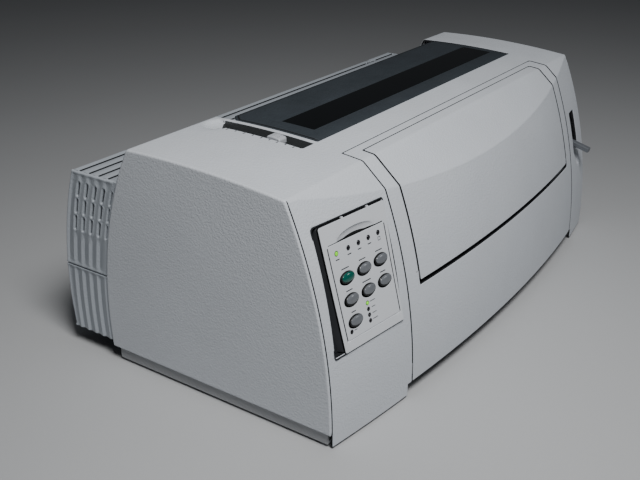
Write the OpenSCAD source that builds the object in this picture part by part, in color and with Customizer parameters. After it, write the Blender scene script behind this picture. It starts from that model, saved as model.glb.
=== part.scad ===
// Wide-carriage dot matrix printer with hinged covers.
// Lengths in millimetres, +Z up, +X towards the printer's right-hand side, the operator stands on the -Y side.
// Origin: middle of the footprint, on the surface the rubber feet stand on.

/* [Casing] */
// Overall width across the two side panels
body_w = 592; // [584:1:600]
// Height of the crown of the top surface
body_h = 228.6; // [227.6:0.1:229.6]
// How far the front bows forward at the middle
front_bow = 24; // [22:0.5:25]
// Wall thickness of the moulded covers
wall = 2.8; // [2.4:0.1:3]
// Width of the seams between neighbouring covers
seam = 0.7; // [0.5:0.1:0.8]

/* [Covers] */
// Left edge of the front cover
cover_x = 113; // [112:0.5:114]
// Left edge of the sheet door
door_x = 133; // [132:0.5:134]
// Height of the lower edge of the sheet door
door_z = 110; // [109:0.5:111]

/* [Paper path] */
// Radius of the rubber platen
platen_r = 17; // [16.6:0.1:17]
// How far the platen knob stands out of the right-hand side
knob_out = 9; // [6:1:12]

/* [Operator panel] */
// Travel of the panel keys
key_travel = 1.5; // [1:0.1:1.6]

/* [Hidden] */
$fn = 96;

// The outlines below are laid out with x = 0 on the left side panel, y = 0 at the foot of its front edge
// and z = 0 on the floor; place() moves them to the origin of the part.
W = body_w;
side_r = 500;                                    // upright curve of the front
side_z = 15;                                     // height of its centre
bow_r = (W * W / 4 + front_bow * front_bow) / (2 * front_bow);  // curve of the front seen from above
hood_r = 359;                                    // rear curve of the hood
hood_y = -42;
hood_z = 65;
rear_r = 375.5;                                  // rear curve of the side panels
rear_y = -114;
rear_z = 50;
front_y = -front_bow;                            // foremost point
back_y = hood_y + hood_r;                        // rearmost point
cover_r = W - (592 - 526.8);                     // right edge of the front cover
door_r = W - (592 - 505);                        // right edge of the sheet door
lid_l = 120;
lid_r = W - 57;
facet = 0.893;                                   // slope of the flat below the ridge
frame_l = 124;                                   // left side frame
frame_r = W - 78;                                // right side frame
hood_l = 1;
hood_rr = W - 16;
P = [150, 160];                                  // platen axis, y and z
C = [112, 128];                                  // carriage shaft axis
T = [60, 104];                                   // tractor shaft axis
PT = [(T[0] - P[0]) / norm(T - P), (T[1] - P[1]) / norm(T - P)];
TI = [P[0] + 59 * PT[0], P[1] + 59 * PT[1]];     // tractor idler axis
MD = [0.36, -0.93296];
FI = [P[0] + 43 * MD[0], P[1] + 43 * MD[1]];     // feed idler axis
M = [P[0] + 69 * MD[0], P[1] + 69 * MD[1]];      // feed motor axis
cover_ax = [-2, 28];                             // hinge axes, y and z
door_ax = [1, 114];
lid_ax = [199, 222];
hood_ax = [313, 93];
lever_ax = [148, 112];
sel_ax = [54, 134];

grey = [0.80, 0.81, 0.82];
dark = [0.24, 0.26, 0.29];

module place() translate([-(W + knob_out) / 2, -(front_y + back_y) / 2, 0]) children();
// an outline in (y, z) pulled along X from x0 to x1
module ex(x0, x1) translate([x0, 0, 0]) rotate([90, 0, 90]) linear_extrude(x1 - x0) children();
module bx(x0, x1, y0, y1, z0, z1) translate([x0, y0, z0]) cube([x1 - x0, y1 - y0, z1 - z0]);
module cx(x0, x1, c, r) translate([x0, c[0], c[1]]) rotate([0, 90, 0]) cylinder(r = r, h = x1 - x0);
module cz(x, y, z0, z1, r) translate([x, y, z0]) cylinder(r = r, h = z1 - z0);

// everything behind the double-curved front face, drawn in by s
module front_in(s) translate([W / 2, bow_r - front_bow, 0]) rotate([0, 0, -103]) rotate_extrude(angle = 26, $fn = 1440)
    intersection() {
        translate([bow_r - side_r, side_z]) circle(r = side_r - s, $fn = 720);
        translate([bow_r - 345, -5]) square([360, 250]);
    }
// side view of the casing without its front curve
module outline(s) intersection() {
    translate([180, body_h - 1050]) circle(r = 1050 - s, $fn = 1440);
    translate([rear_y, rear_z]) circle(r = rear_r - s, $fn = 720);
    polygon([[-60, 220 - facet * 104 - s * 1.3407], [200, 220 + facet * 156 - s * 1.3407], [400, 400], [400, -30], [-60, -30]]);
}
module body(s, x0, x1) intersection() { front_in(s); ex(x0, x1) outline(s); }
module skin(x0, x1, t) difference() { body(0, x0, x1); body(t, x0 - 1, x1 + 1); }
module ribs(s, depth, x0, x1) difference() { body(s, x0, x1); body(s + depth, x0 - 1, x1 + 1); }

// ---- operator panel frame: u to the right, v up the slope, w out of the panel
module panel_frame() translate([60, 8.6, 140]) rotate([75.6, 0, -7.4]) children();
module pan(w0, w1) translate([0, 0, w0]) linear_extrude(w1 - w0) children();
key_at = [[-17.9, 5.3], [4.2, 5.8], [26.2, 6.4], [-17.6, -14.1], [4.8, -13.7], [26.8, -13.0], [-17.3, -33.2]];
led_at = [[-25.5, 28.3], [-10.6, 28.5], [2.5, 28.7], [15.5, 29.0], [28.5, 29.3], [0.0, -24.4], [0.0, -29.8], [0.0, -35.1], [0.0, -40.3], [-24.7, -40.9]];
led_on = [0, 5];
module oval(a, b) { square([a - b, b], center = true); for (s = [-1, 1]) translate([s * (a - b) / 2, 0]) circle(r = b / 2, $fn = 48); }
// oval of four arcs, a long and b high, with end arcs of radius r
module four_arc(a, b, r) {
    c = a / 2 - r;
    big = (c * c + b * b / 4 - r * r) / (b - 2 * r);
    for (s = [-1, 1]) translate([s * c, 0]) circle(r = r, $fn = 48);
    intersection() {
        translate([0, b / 2 - big]) circle(r = big, $fn = 144);
        translate([0, big - b / 2]) circle(r = big, $fn = 144);
        square([2 * (c * big / (big - r) - 0.3), b + 1], center = true);
    }
}
module key(i, c) color(c) place() panel_frame() translate([key_at[i][0], key_at[i][1], 0]) {
    pan(-3.4, 2.4) four_arc(16.6, 10.2, 3.6);
    pan(-5.2, -3.4) four_arc(19.6, 13.4, 5);
    pan(-6.4, -5.2) circle(r = 2, $fn = 32);
}
module leds(on) place() panel_frame() for (i = [0:9]) if (len(search(i, led_on)) == on)
    translate([led_at[i][0], led_at[i][1], 0]) pan(-8.5, 0.3) circle(r = 1.9, $fn = 32);

// ---- gears, module 1 mm, teeth counted from an angle
function mesh_next(theta, phi, n, m) = theta + 180 + (((theta - phi) * n / 360 - floor((theta - phi) * n / 360)) + 0.5) * 360 / m;
th_t = atan2(T[1] - P[1], T[0] - P[0]);
th_f = atan2(MD[1], MD[0]);
ph_p = 0;
ph_ti = mesh_next(th_t, ph_p, 48, 70);
ph_t = mesh_next(th_t, ph_ti, 70, 24);
ph_fi = mesh_next(th_f, ph_p, 48, 38);
ph_m = mesh_next(th_f, ph_fi, 38, 14);
function gear_pts(n, ph) = [for (i = [0:n - 1], k = [0:3])
    let (r = (k == 0 || k == 3) ? n / 2 - 1.2 : n / 2 + 0.85,
         h = ((k == 0 || k == 3) ? 2.1 : 0.7) / n * 57.2958,
         a = ph + i * 360 / n + (k < 2 ? -h : h))
    [r * cos(a), r * sin(a)]];
module gear(x0, x1, c, n, ph, bore) ex(x0, x1) translate(c) difference() { polygon(gear_pts(n, ph)); circle(r = bore); }

// ---- housings
module base_pan() color(grey) place() {
    difference() {
        union() {
            bx(3.2, W - 3.2, 14, 253, 3, 6);                     // floor
            bx(3.2, 106, 5, 14.1, 3, 6);
            bx(W - 62, W - 3.2, 5, 14.1, 3, 6);
            bx(3.2, 6, 5, 253, 3, 40);                           // side walls
            bx(W - 6, W - 3.2, 5, 253, 3, 40);
            bx(3.2, W - 3.2, 250, 253, 3, 70);                   // rear wall
            bx(106, W - 62, 14, 17, 3, 24);                      // front wall behind the cover
            bx(103, 106, 5, 17, 3, 24);
            bx(W - 62, W - 59, 5, 17, 3, 24);
            for (x = [122, W - 78]) bx(x, x + 4, cover_ax[0], 17, 23, 33);          // hinge ears
            for (x = [122, W - 78]) bx(x, x + 4, 14, 17, 20, 24);
            for (x = [122, W - 78]) cx(x, x + 4, cover_ax, 5);
            for (c = [[180, 130], [180, 215], [260, 130], [260, 215], [310, 110], [310, 236], [490, 110], [490, 236]])
                cz(c[0], c[1], 5.9, 9, 4);                                          // board and supply posts
        }
        for (x = [121, W - 79]) cx(x, x + 6, cover_ax, 3.05);
        bx(W - 66, W - 36, 249, 254, 26, 48);                    // inlet cut-out
        bx(318, 378, 249, 254, 18, 32);                          // connector cut-outs
        bx(392, 434, 249, 254, 18, 32);
        for (i = [0:11]) bx(150 + i * 9, 154 + i * 9, 60, 100, 2, 7);               // air slots in the floor
    }
}
module feet() color([0.12, 0.12, 0.13]) place()
    for (x = [22, W - 22], y = [24, 236]) translate([x, y, 0]) { cylinder(r = 9, h = 3); }

module place_panel_pillars() panel_frame() for (x = [-51.5, 46.6], y = [-46, 46]) translate([x, y, 0]) pan(-10, 6) circle(r = 3.2, $fn = 32);
module top_case() color(grey) place() {
    difference() {
        union() {
            skin(3.15, W - 3.15, wall);
            // trough of the thickness lever
            intersection() { body(0.4, 3.15, W - 3.15); bx(93.5, 116.5, 93.5, 202.5, 212, 230); }
            // seats beside the lid, with its hinge ears
            intersection() { body(0.4, 3.15, W - 3.15); bx(116, 119.8, 97, 206, 214, 230); }
            intersection() { body(0.4, 3.15, W - 3.15); bx(W - 56.8, W - 52, 97, 206, 214, 230); }
            // pillars of the operator panel
            intersection() { body(0.4, 3.15, W - 3.15); place_panel_pillars(); }
            // seats of the lid's front corners
            bx(119.5, 126, 99, 110, 218.5, 222.2);
            bx(W - 63, W - 56.5, 99, 110, 218.5, 222.2);
            // posts down to the side panels
            for (x = [3.2, W - 10.2]) intersection() { body(0.4, 3.15, W - 3.15); bx(x, x + 7, 60, 200, 216, 230); }
        }
        bx(cover_x, cover_r, -60, 66, -10, 240);                                     // front cover opening
        bx(lid_l, lid_r, 96.4, 300, 205, 240);                                       // lid opening
        bx(-2, W + 2, 190, 300, -10, 188);                                           // open rear
        bx(-2, W + 2, -60, 300, -10, 3);                                             // lower edge
        for (x = [3, W - 3.9]) bx(x, x + 0.9, -60, 46, -10, 218.5);                  // corner seams
        bx(96, 114, 96, 200, 214, 240);                                              // trough
        bx(100.4, 109.6, 104, 192, 205, 216);
        bx(106.6, cover_x + 1, -60, 40, -10, 15);                                    // skirt steps up
        bx(cover_r - 1, W - 59, -60, 40, -10, 15);
        for (x = [115.5, W - 57]) cx(x, x + 5.5, lid_ax, 2.55);
        bx(W - 49.5, W - 28, -60, 40, 88, 160.5);                                        // slot of the paper lever
        panel_frame() pan(-16, 20) polygon([[-47.4, -56.4], [42.8, -56.4], [42.8, 55.6], [-46.6, 55.6]]);
    }
}
module side_panel_shape(x0, x1) difference() {
    body(0, x0, x1);
    bx(x0 - 1, x1 + 1, -60, 300, -10, 15);
}
module left_side_panel() color(grey) place() side_panel_shape(0, 3);
module right_side_panel() color(grey) place() difference() {
    union() {
        side_panel_shape(W - 3, W);
        // return along the rear edge, beside the hood
        ex(W - 15.6, W - 2.8) intersection() {
            difference() { body_circle(-0.2); body_circle(-2.7); }
            translate([200, 16]) square([100, 171]);
        }
        // bezel of the power switch, with its two pivots
        bx(W - 12, W - 2.9, 208.5, 233.5, 44.5, 61.5);
    }
    cx(W - 4, W + 1, P, 20);                                                         // knob opening
    difference() {
        bx(W - 13, W + 1, 210, 232, 46, 60);                                         // switch opening
        cz(W - 5.5, 221, 45, 48.5, 1.5);
        cz(W - 5.5, 221, 57.5, 61, 1.5);
    }
}

module front_cover() color(grey) place() difference() {
    union() {
        intersection() {
            union() {
                skin(cover_x + seam, cover_r - seam, wall);
                ribs(wall - 0.5, 9, cover_x + seam, cover_x + seam + 2.4);
                ribs(wall - 0.5, 9, cover_r - seam - 2.4, cover_r - seam);
                intersection() { ribs(wall - 0.5, 7, door_x - 4.2, door_r + 4.2); bx(0, W, 58.4, 64, 200, 240); }
                for (z = [40, 72, 96]) intersection() { ribs(wall - 0.5, 5, cover_x + seam, cover_r - seam); bx(0, W, -60, 60, z, z + 2); }
            }
            bx(0, W, -60, 65.4, 15, 240);
        }
        for (x = [door_x - 4.6, door_r + 1]) intersection() { body(wall - 0.5, 0, W); bx(x, x + 3.6, -60, 6, 108, 120); }
        for (x = [cover_x + seam, cover_r - seam - 4.6]) intersection() { body(wall - 0.5, 0, W); bx(x, x + 4.6, -60, 4, 22, 34); }
        // hinge pins at the foot
        cx(cover_x + seam, 126.4, cover_ax, 3);
        cx(W - 78.4, cover_r - seam, cover_ax, 3);
    }
    bx(door_x, door_r, -60, 57, door_z - 3, 240);
    // swing of the door's lower lip, which bows like the cover
    translate([0, door_ax[0], door_ax[1]]) rotate([0, 90, 0]) rotate_extrude($fn = 180) intersection() {
        translate([18.4 - bow_r, W / 2]) circle(r = bow_r, $fn = 1440);
        translate([0, door_x]) square([30, door_r - door_x]);
    }
    for (x = [door_x - 5.6, door_r - 1]) cx(x, x + 6.6, door_ax, 2.55);
}
module sheet_door() color(grey) place() {
    difference() {
        union() {
            intersection() { skin(door_x + 1.3, door_r - 0.7, wall); bx(0, W, -60, 56.4, door_z, 240); }
            for (x = [door_x + 1.3, door_r - 2.9]) intersection() { ribs(wall - 0.5, 4.5, x, x + 2.2); bx(0, W, -60, 52, door_z, 215); }
            for (z = [132, 160]) intersection() { ribs(wall - 0.5, 3, door_x + 1.3, door_r - 0.7); bx(0, W, -60, 60, z, z + 2); }
            for (x = [door_x + 1.3, door_r - 5.2]) {
                intersection() { body(wall - 0.5, 0, W); bx(x, x + 4.5, -60, door_ax[0], door_z + 0.5, door_z + 8); }
                cx(x, x + 4.5, door_ax, 4);
            }
        }
        // clear of the hinge ears beside it
        for (x = [door_x - 5, door_r - 0.2]) bx(x, x + 5.2, -3, 6, 100, 122);
    }
    cx(door_x - 4.4, door_x + 3, door_ax, 2.5);
    cx(door_r - 3, door_r + 4.4, door_ax, 2.5);
}

module access_lid() color(dark) place() {
    difference() {
        union() {
            difference() {
                intersection() { skin(lid_l + 0.6, lid_r - 0.6, 2.6); bx(0, W, 97, 203, 205, 240); }
                translate([lid_l, 191, 200]) rotate([0, 0, 45]) translate([-20, 0, 0]) cube([40, 40, 40]);
            }
            // stiffening rim round the window and hinge cheeks
            intersection() { ribs(2.2, 3, 141, W - 63); bx(0, W, 114, 158, 205, 240); }
            for (x = [lid_l + 0.6, lid_r - 5.1]) intersection() { body(2.2, 0, W); bx(x, x + 4.5, 180, 203, 217.5, 230); }
        }
        bx(144, W - 66, 117, 155, 200, 240);
    }
    cx(116.4, lid_l + 3, lid_ax, 2.5);
    cx(lid_r - 3, W - 53.4, lid_ax, 2.5);
}
module lid_window() color([0.05, 0.06, 0.07, 0.9]) place()
    intersection() { difference() { body(0.5, 0, W); body(2.5, -1, W + 1); } bx(144.1, W - 66.1, 117.1, 154.9, 205, 240); }

module hood_circle(s) translate([hood_y, hood_z]) circle(r = hood_r - s, $fn = 720);
module body_circle(s) translate([rear_y, rear_z]) circle(r = rear_r + s, $fn = 720);
module hood_side(s, z0, z1) difference() {
    intersection() { hood_circle(s); translate([150, z0]) square([200, z1 - z0]); }
    body_circle(0.5);
}
module vents() for (k = [0:4], r = [0:2]) ex(-5, W + 5)
    intersection() {
        difference() { body_circle(2.6 + 10.4 * k + 1.2); body_circle(2.6 + 10.4 * k - 1.2); }
        translate([200, [167.6, 149.6, 131.4][r]]) square([100, 15]);
    }
module rear_hood() color(grey) place() {
    difference() {
        union() {
            difference() {
                ex(hood_l, hood_rr) hood_side(0, 92, 193);
                ex(hood_l + 2.5, hood_rr - 2.5) intersection() { hood_circle(2.5); translate([150, 80]) square([200, 110.5]); }
            }
        }
        vents();
        bx(-1, W, 304, 330, 85, 98);                                                 // room for the hinge barrel
        bx(513, 520, 286, 300, 180, 200);                                            // notch in the top rear edge
    }
    // hinge barrel along the rear edge, with its pins
    cx(hood_l + 12, hood_rr - 12, hood_ax, 4);
    cx(hood_l + 3.2, hood_l + 13, hood_ax, 2);
    cx(hood_rr - 13, hood_rr - 3.2, hood_ax, 2);
    ex(hood_l + 12, hood_rr - 12) intersection() { difference() { hood_circle(0); hood_circle(2.5); } translate([300, 94]) square([30, 6]); }
}
module rear_cover() color(grey) place() {
    difference() {
        ex(hood_l, hood_rr) hood_side(0, 20, 90.6);
        ex(hood_l + 2.5, hood_rr - 2.5) intersection() { hood_circle(2.5); translate([150, 0]) square([200, 120]); }
        bx(-1, W, 305.5, 330, 87, 100);                                              // room for the hinge barrel
        cx(-1, W, hood_ax, 4.8);
    }
    for (x = [hood_l + 2.4, hood_rr - 6.9]) difference() {                           // hinge ears
        union() {
            ex(x, x + 4.5) intersection() { hood_circle(2.4); translate([300, 60]) square([20, 30]); }
            cx(x, x + 4.5, hood_ax, 3.8);
        }
        cx(x - 1, x + 5.5, hood_ax, 2.06);
    }
    // flanges that fasten it to the rear wall of the base
    for (x = [60, 230, 480]) bx(x, x + 12, 253, hood_y + sqrt(hood_r * hood_r - 225) - 2.4, 48, 51);
}

// ---- operator panel
module operator_panel() color(grey) place() panel_frame() difference() {
    union() {
        pan(-12, -10) polygon([[-47, -56], [42.4, -56], [42.4, 55.2], [-46.2, 55.2]]);
        for (x = [-50, 44.3], y = [-46, 46]) translate([x, y, 0]) pan(-12, -10) oval(12, 8);
        pan(-10.05, 0) polygon([[-36, -56], [42.4, -56], [42.4, 54.4], [-41, 54.4]]);
    }
    pan(-10, -2.5) polygon([[-32.5, -52], [39, -52], [39, 50], [-37, 50]]);
    for (k = key_at) translate([k[0], k[1], 0]) pan(-3, 1) four_arc(17.8, 11.4, 4.2);
    for (k = led_at) translate([k[0], k[1], 0]) pan(-3, 1) circle(r = 2.1, $fn = 32);
    pan(-1, 1) polygon([[-34.2, 37.2], [-33.2, 37.2], [-30.2, -47], [-31.2, -47]]);   // groove at the plate's left
    pan(-1, 1) polygon([[37.6, 36], [38.6, 36], [40, -47], [39, -47]]);
    pan(-1, 1) translate([-33.5, 36.4]) square([71, 0.9]);
    translate([1.6, 37.4, 0]) pan(-1, 1) intersection() { circle(r = 24); translate([-24, 0]) square([48, 7.4]); }
}
module panel_board() color([0.1, 0.35, 0.2]) place() panel_frame()
    pan(-10, -8.5) polygon([[-30, -51.5], [38.6, -51.5], [38.6, 49.5], [-34, 49.5]]);

// ---- levers
module thickness_lever() color([0.72, 0.74, 0.77]) place() difference() {
    union() {
        cx(99.6, 108.4, lever_ax, 8);
        ex(101.6, 107.4) polygon([[lever_ax[0] - 5, 112], [lever_ax[0] + 5, 112], [134.5, 224], [125.5, 224]]);
        ex(97.8, 109.2) hull() { translate([125.8, 224.6]) circle(r = 3.6, $fn = 32); translate([133.4, 225.2]) circle(r = 4.6, $fn = 32); }
    }
    cx(98, 110, lever_ax, 4.06);
}
module select_lever() color([0.45, 0.47, 0.5]) place() difference() {
    union() {
        cx(549, 557, sel_ax, 8);
        translate([549, sel_ax[0], sel_ax[1]]) rotate([15.7, 0, 0]) translate([0, -70, -2.8]) cube([8, 70, 5.6]);
    }
    cx(548, 558, sel_ax, 4.06);
}

// ---- mechanism
module frame_plate(x0, x1, cuts) difference() {
    union() {
        ex(x0, x1) polygon([[30, 6], [236, 6], [236, 120], [186, 192], [120, 206], [96, 200], [30, 150]]);
    }
    cx(x0 - 1, x1 + 1, P, 8.05);
    cx(x0 - 1, x1 + 1, C, 6.05);
    cx(x0 - 1, x1 + 1, T, 3.06);
    cx(x0 - 1, x1 + 1, [60, 62], 3.05);
    cx(x0 - 1, x1 + 1, [142, 138.1], 3.06);
    ex(x0 - 1, x1 + 1) polygon([[90, 40], [140, 40], [140, 90], [90, 84]]);
    ex(x0 - 1, x1 + 1) polygon([[196, 24], [224, 24], [224, 110], [196, 130]]);
}
module left_side_frame() color([0.7, 0.72, 0.74]) place() {
    difference() {
        union() {
            frame_plate(frame_l, frame_l + 2);
            bx(frame_l - 38, frame_l + 0.5, 42, 86, 110, 112);                           // shelf of the carriage motor
            bx(frame_l - 12, frame_l + 0.5, 40, 230, 6, 7.5);                            // foot
            cx(97, frame_l + 1, lever_ax, 4);                                            // stud of the thickness lever
            cx(109, 112, lever_ax, 7);
        }
        bx(frame_l - 2, frame_l + 4, 46, 78, 112, 124);                                  // the belt passes here
        cz(102, 62, 105, 120, 5);
    }
}
module right_side_frame() color([0.7, 0.72, 0.74]) place() difference() {
    union() {
        frame_plate(frame_r, frame_r + 2);
        bx(frame_r - 30, frame_r + 0.5, 48, 76, 110, 112);                               // shelf of the idler pulley
        cz(frame_r - 16, 62, 111, 123, 3);
        bx(frame_r + 1.5, frame_r + 14, 40, 230, 6, 7.5);                                // foot
        cx(frame_r + 1, frame_r + 12, TI, 4);                                            // gear studs
        cx(frame_r + 1, frame_r + 12, FI, 4);
        cx(frame_r + 1, W - 33, sel_ax, 4);                                              // stud of the paper lever
        cx(W - 46, W - 43.4, sel_ax, 7);
        cx(frame_r + 2, frame_r + 3.6, TI, 6);
        cx(frame_r + 2, frame_r + 3.6, FI, 6);
    }
    cx(frame_r - 1, frame_r + 3, M, 11);
}
module platen() color([0.08, 0.08, 0.09]) place() ex(132, frame_r - 6) translate(P) difference() { circle(r = platen_r, $fn = 128); circle(r = 4); }
module platen_shaft() color([0.75, 0.76, 0.78]) place() cx(119, W - 12, P, 4);
module platen_bearings() color([0.85, 0.84, 0.78]) place() for (x = [frame_l - 2, frame_r - 2]) ex(x, x + 6) translate(P) difference() { circle(r = 8); circle(r = 4.06); }
module platen_gear() color([0.9, 0.9, 0.86]) place() gear(frame_r + 4, frame_r + 10, P, 48, ph_p, 4);
module platen_knob() color([0.3, 0.31, 0.33]) place() difference() {
    ex(W - 24, W + knob_out) translate(P) difference() {
        circle(r = 18.5);
        for (i = [0:17]) rotate(i * 20) translate([19.3, 0]) circle(r = 1.8, $fn = 24);
    }
    cx(W - 25, W - 12, P, 4);
}
module feed_motor() color([0.3, 0.3, 0.32]) place() difference() {
    union() {
        cx(frame_r - 36, frame_r - 2, M, 20);
        cx(frame_r - 2.2, frame_r + 1.5, M, 10.9);
        ex(frame_r - 2, frame_r) translate(M) difference() { square([46, 46], center = true); circle(r = 10.8); }
    }
    cx(frame_r - 12, frame_r + 2, M, 2.56);
}
module motor_pinion() color([0.8, 0.75, 0.5]) place() union() {
    gear(frame_r + 4, frame_r + 10, M, 14, ph_m, 2.4);
    cx(frame_r - 11.5, frame_r + 11.5, M, 2.5);
}
module feed_idler_gear() color([0.9, 0.9, 0.86]) place() gear(frame_r + 4, frame_r + 10, FI, 38, ph_fi, 4.06);
module tractor_idler_gear() color([0.9, 0.9, 0.86]) place() gear(frame_r + 4, frame_r + 10, TI, 70, ph_ti, 4.06);
module tractor_gear() color([0.9, 0.9, 0.86]) place() gear(frame_r + 4, frame_r + 10, T, 24, ph_t, 3);
module tractor_shaft() color([0.75, 0.76, 0.78]) place() cx(frame_l - 4, frame_r + 12, T, 3);
module tractor_rod() color([0.75, 0.76, 0.78]) place() cx(frame_l - 4, frame_r + 6, [60, 62], 3);
tr_x = [146, 446];
module tractor(x) color([0.2, 0.22, 0.24]) place() difference() {
    union() {
        ex(x, x + 26) polygon([[50, 52], [54, 48], [68, 48], [72, 54], [72, 104], [66, 110.5], [54, 110.5], [50, 106]]);
        for (s = [0, 1]) cz(x + (x < 300 ? -2.6 : 28.6), 49.5, s ? 98 : 56, s ? 104 : 62, 2.6);
        for (s = [0, 1]) bx(x + (x < 300 ? -2.6 : 25.6), x + (x < 300 ? 0.4 : 28.6), 48, 52, s ? 98 : 56, s ? 104 : 62);
    }
    cx(x - 1, x + 27, T, 3.06);
    cx(x - 1, x + 27, [60, 62], 3.05);
    for (s = [0, 1]) cz(x + (x < 300 ? -2.6 : 28.6), 49.5, s ? 97 : 55, s ? 105 : 63, 1.26);
    bx(x + 9, x + 17, 49, 51, 50, 110);                                                  // belt of pins runs in here
}
module left_tractor() tractor(tr_x[0]);
module right_tractor() tractor(W - (592 - tr_x[1]));
module tractor_flap(x) color([0.26, 0.28, 0.3]) place() difference() {
    union() {
        bx(x + 1.1, x + 24.9, 46.6, 49.4, 52, 108);
        if (x < 300) bx(x - 2.6, x + 1.8, 46.6, 48.4, 63, 97); else bx(x + 24.2, x + 28.6, 46.6, 48.4, 63, 97);
        cz(x + (x < 300 ? -2.6 : 28.6), 49.5, 63, 97, 2.6);
        cz(x + (x < 300 ? -2.6 : 28.6), 49.5, 57, 103, 1.2);
    }
    bx(x + 9, x + 17, 45, 52, 60, 100);
}
module left_tractor_flap() tractor_flap(tr_x[0]);
module right_tractor_flap() tractor_flap(W - (592 - tr_x[1]));

module carriage_shaft() color([0.8, 0.81, 0.83]) place() cx(frame_l - 4, frame_r + 3.4, C, 6);
module carriage_rail() color([0.7, 0.72, 0.74]) place() union() {
    bx(frame_l + 2, frame_r, 80, 92, 110, 112);
    bx(frame_l + 2, frame_r, 90, 92, 102, 110.1);
}
module carriage() color([0.15, 0.16, 0.17]) place() difference() {
    union() {
        bx(136, 186, 84, 124, 118, 142);
        bx(150, 172, 82, 90, 112.3, 118.1);
        bx(154, 168, 72, 84.1, 115, 119);                                                // clamp beside the belt
        bx(136, 140, 84, 118, 141.9, 168);
        bx(182, 186, 84, 118, 141.9, 168);
    }
    cx(135, 187, C, 6.06);
}
module print_head() color([0.55, 0.56, 0.58]) place() union() {
    bx(146, 176, 90, 118, 142, 165);
    for (i = [0:4]) bx(142, 180, 92 + i * 4.4, 94 + i * 4.4, 146, 162);
    bx(155, 167, 117.9, 132, 154, 165);
}
module ribbon_cartridge() color([0.1, 0.1, 0.11]) place() difference() {
    union() {
        bx(136, 186, 78, 122, 168, 182);
        bx(136, 141, 121.9, 130, 168, 178);
        bx(181, 186, 121.9, 130, 168, 178);
    }
    cz(176, 92, 167, 183, 3.06);
}
module ribbon_knob() color([0.2, 0.35, 0.6]) place() union() {
    cz(176, 92, 183, 188, 7.5);
    cz(176, 92, 170, 183.1, 3);
}
module drive_belt() color([0.08, 0.08, 0.08]) place() difference() {
    union() { cz(102, 62, 115.5, 121, 9.4); cz(frame_r - 16, 62, 115.5, 121, 9.4); bx(102, frame_r - 16, 52.6, 71.4, 115.5, 121); }
    cz(102, 62, 115, 122, 8); cz(frame_r - 16, 62, 115, 122, 8); bx(102, frame_r - 16, 54, 70, 115, 122);
}
module drive_pulley() color([0.8, 0.75, 0.5]) place() union() {
    cz(102, 62, 115, 122, 7.7);
    cz(102, 62, 121.9, 123, 9.6);
    cz(102, 62, 104, 116, 2.5);
}
module idler_pulley() color([0.9, 0.9, 0.86]) place() difference() {
    union() { cz(frame_r - 16, 62, 115, 122, 7.7); cz(frame_r - 16, 62, 121.9, 123, 9.6); }
    cz(frame_r - 16, 62, 114, 124, 3.06);
}
module carriage_motor() color([0.3, 0.3, 0.32]) place() difference() {
    union() { cz(102, 62, 72, 108, 18); bx(82, 122, 44, 80, 108, 110); }
    cz(102, 62, 103, 111, 2.56);
}
module paper_guide() color([0.72, 0.74, 0.76]) place() ex(frame_l + 2.1, frame_r - 0.1) {
    polygon([[131, 149], [132.6, 149], [128.8, 108.6], [79, 90.5], [78.4, 92], [127.4, 109.8]]);
    intersection() { difference() { translate(P) circle(r = 21.5); translate(P) circle(r = 20); } polygon([P, [P[0] + 4, 120], [190, 120], [190, 158]]); }
}
module pressure_rollers() color([0.12, 0.12, 0.13]) place() union() {
    cx(frame_l - 3, frame_r + 3.4, [142, 138.1], 3);
    for (i = [0:5]) cx(150 + i * (frame_r - 178) / 5, 164 + i * (frame_r - 178) / 5, [142, 138.1], 22.9 - platen_r);
}

// ---- electrics
module power_supply() color([0.75, 0.76, 0.77]) place() difference() {
    bx(150, 286, 112, 230, 9, 58);
    bx(152, 284, 114, 228, 11, 56);
    for (i = [0:7]) bx(160 + i * 15, 168 + i * 15, 130, 200, 50, 60);
}
module main_board() color([0.1, 0.35, 0.2]) place() union() {
    bx(296, 500, 96, 246, 9, 10.6);
    bx(330, 360, 130, 160, 10.5, 14);
    bx(380, 400, 120, 160, 10.5, 14);
    bx(430, 480, 120, 180, 10.5, 30);                                                    // heat sink of the drivers
    for (i = [0:4]) cz(316 + i * 14, 200, 10.5, 26, 5);
}
module power_inlet() color([0.07, 0.07, 0.08]) place() difference() {
    bx(W - 65.8, W - 36.2, 236, 253, 26.2, 47.8);
    bx(W - 62, W - 40, 238, 254, 29, 45);
}
module power_switch() color([0.1, 0.1, 0.11]) place() translate([W - 5.5, 221, 0]) rotate([0, 0, -6]) difference() {
    translate([-3, -9.4, 47]) cube([6.2, 18.8, 12]);
    for (z = [46, 57.3]) translate([0, 0, z]) cylinder(r = 1.56, h = 2.7);
}
module data_connectors() color([0.6, 0.61, 0.62]) place() {
    difference() { bx(318.3, 377.7, 236, 253, 18.2, 31.8); bx(322, 374, 238, 254, 21, 29); }
    difference() { bx(392.3, 433.7, 236, 253, 18.2, 31.8); bx(396, 430, 238, 254, 21, 29); }
}
module screws() color([0.7, 0.7, 0.72]) place() for (x = [frame_l - 7, frame_r + 8], y = [50, 130, 222]) {
    cz(x, y, 7.5, 10, 3.6);
}

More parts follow.
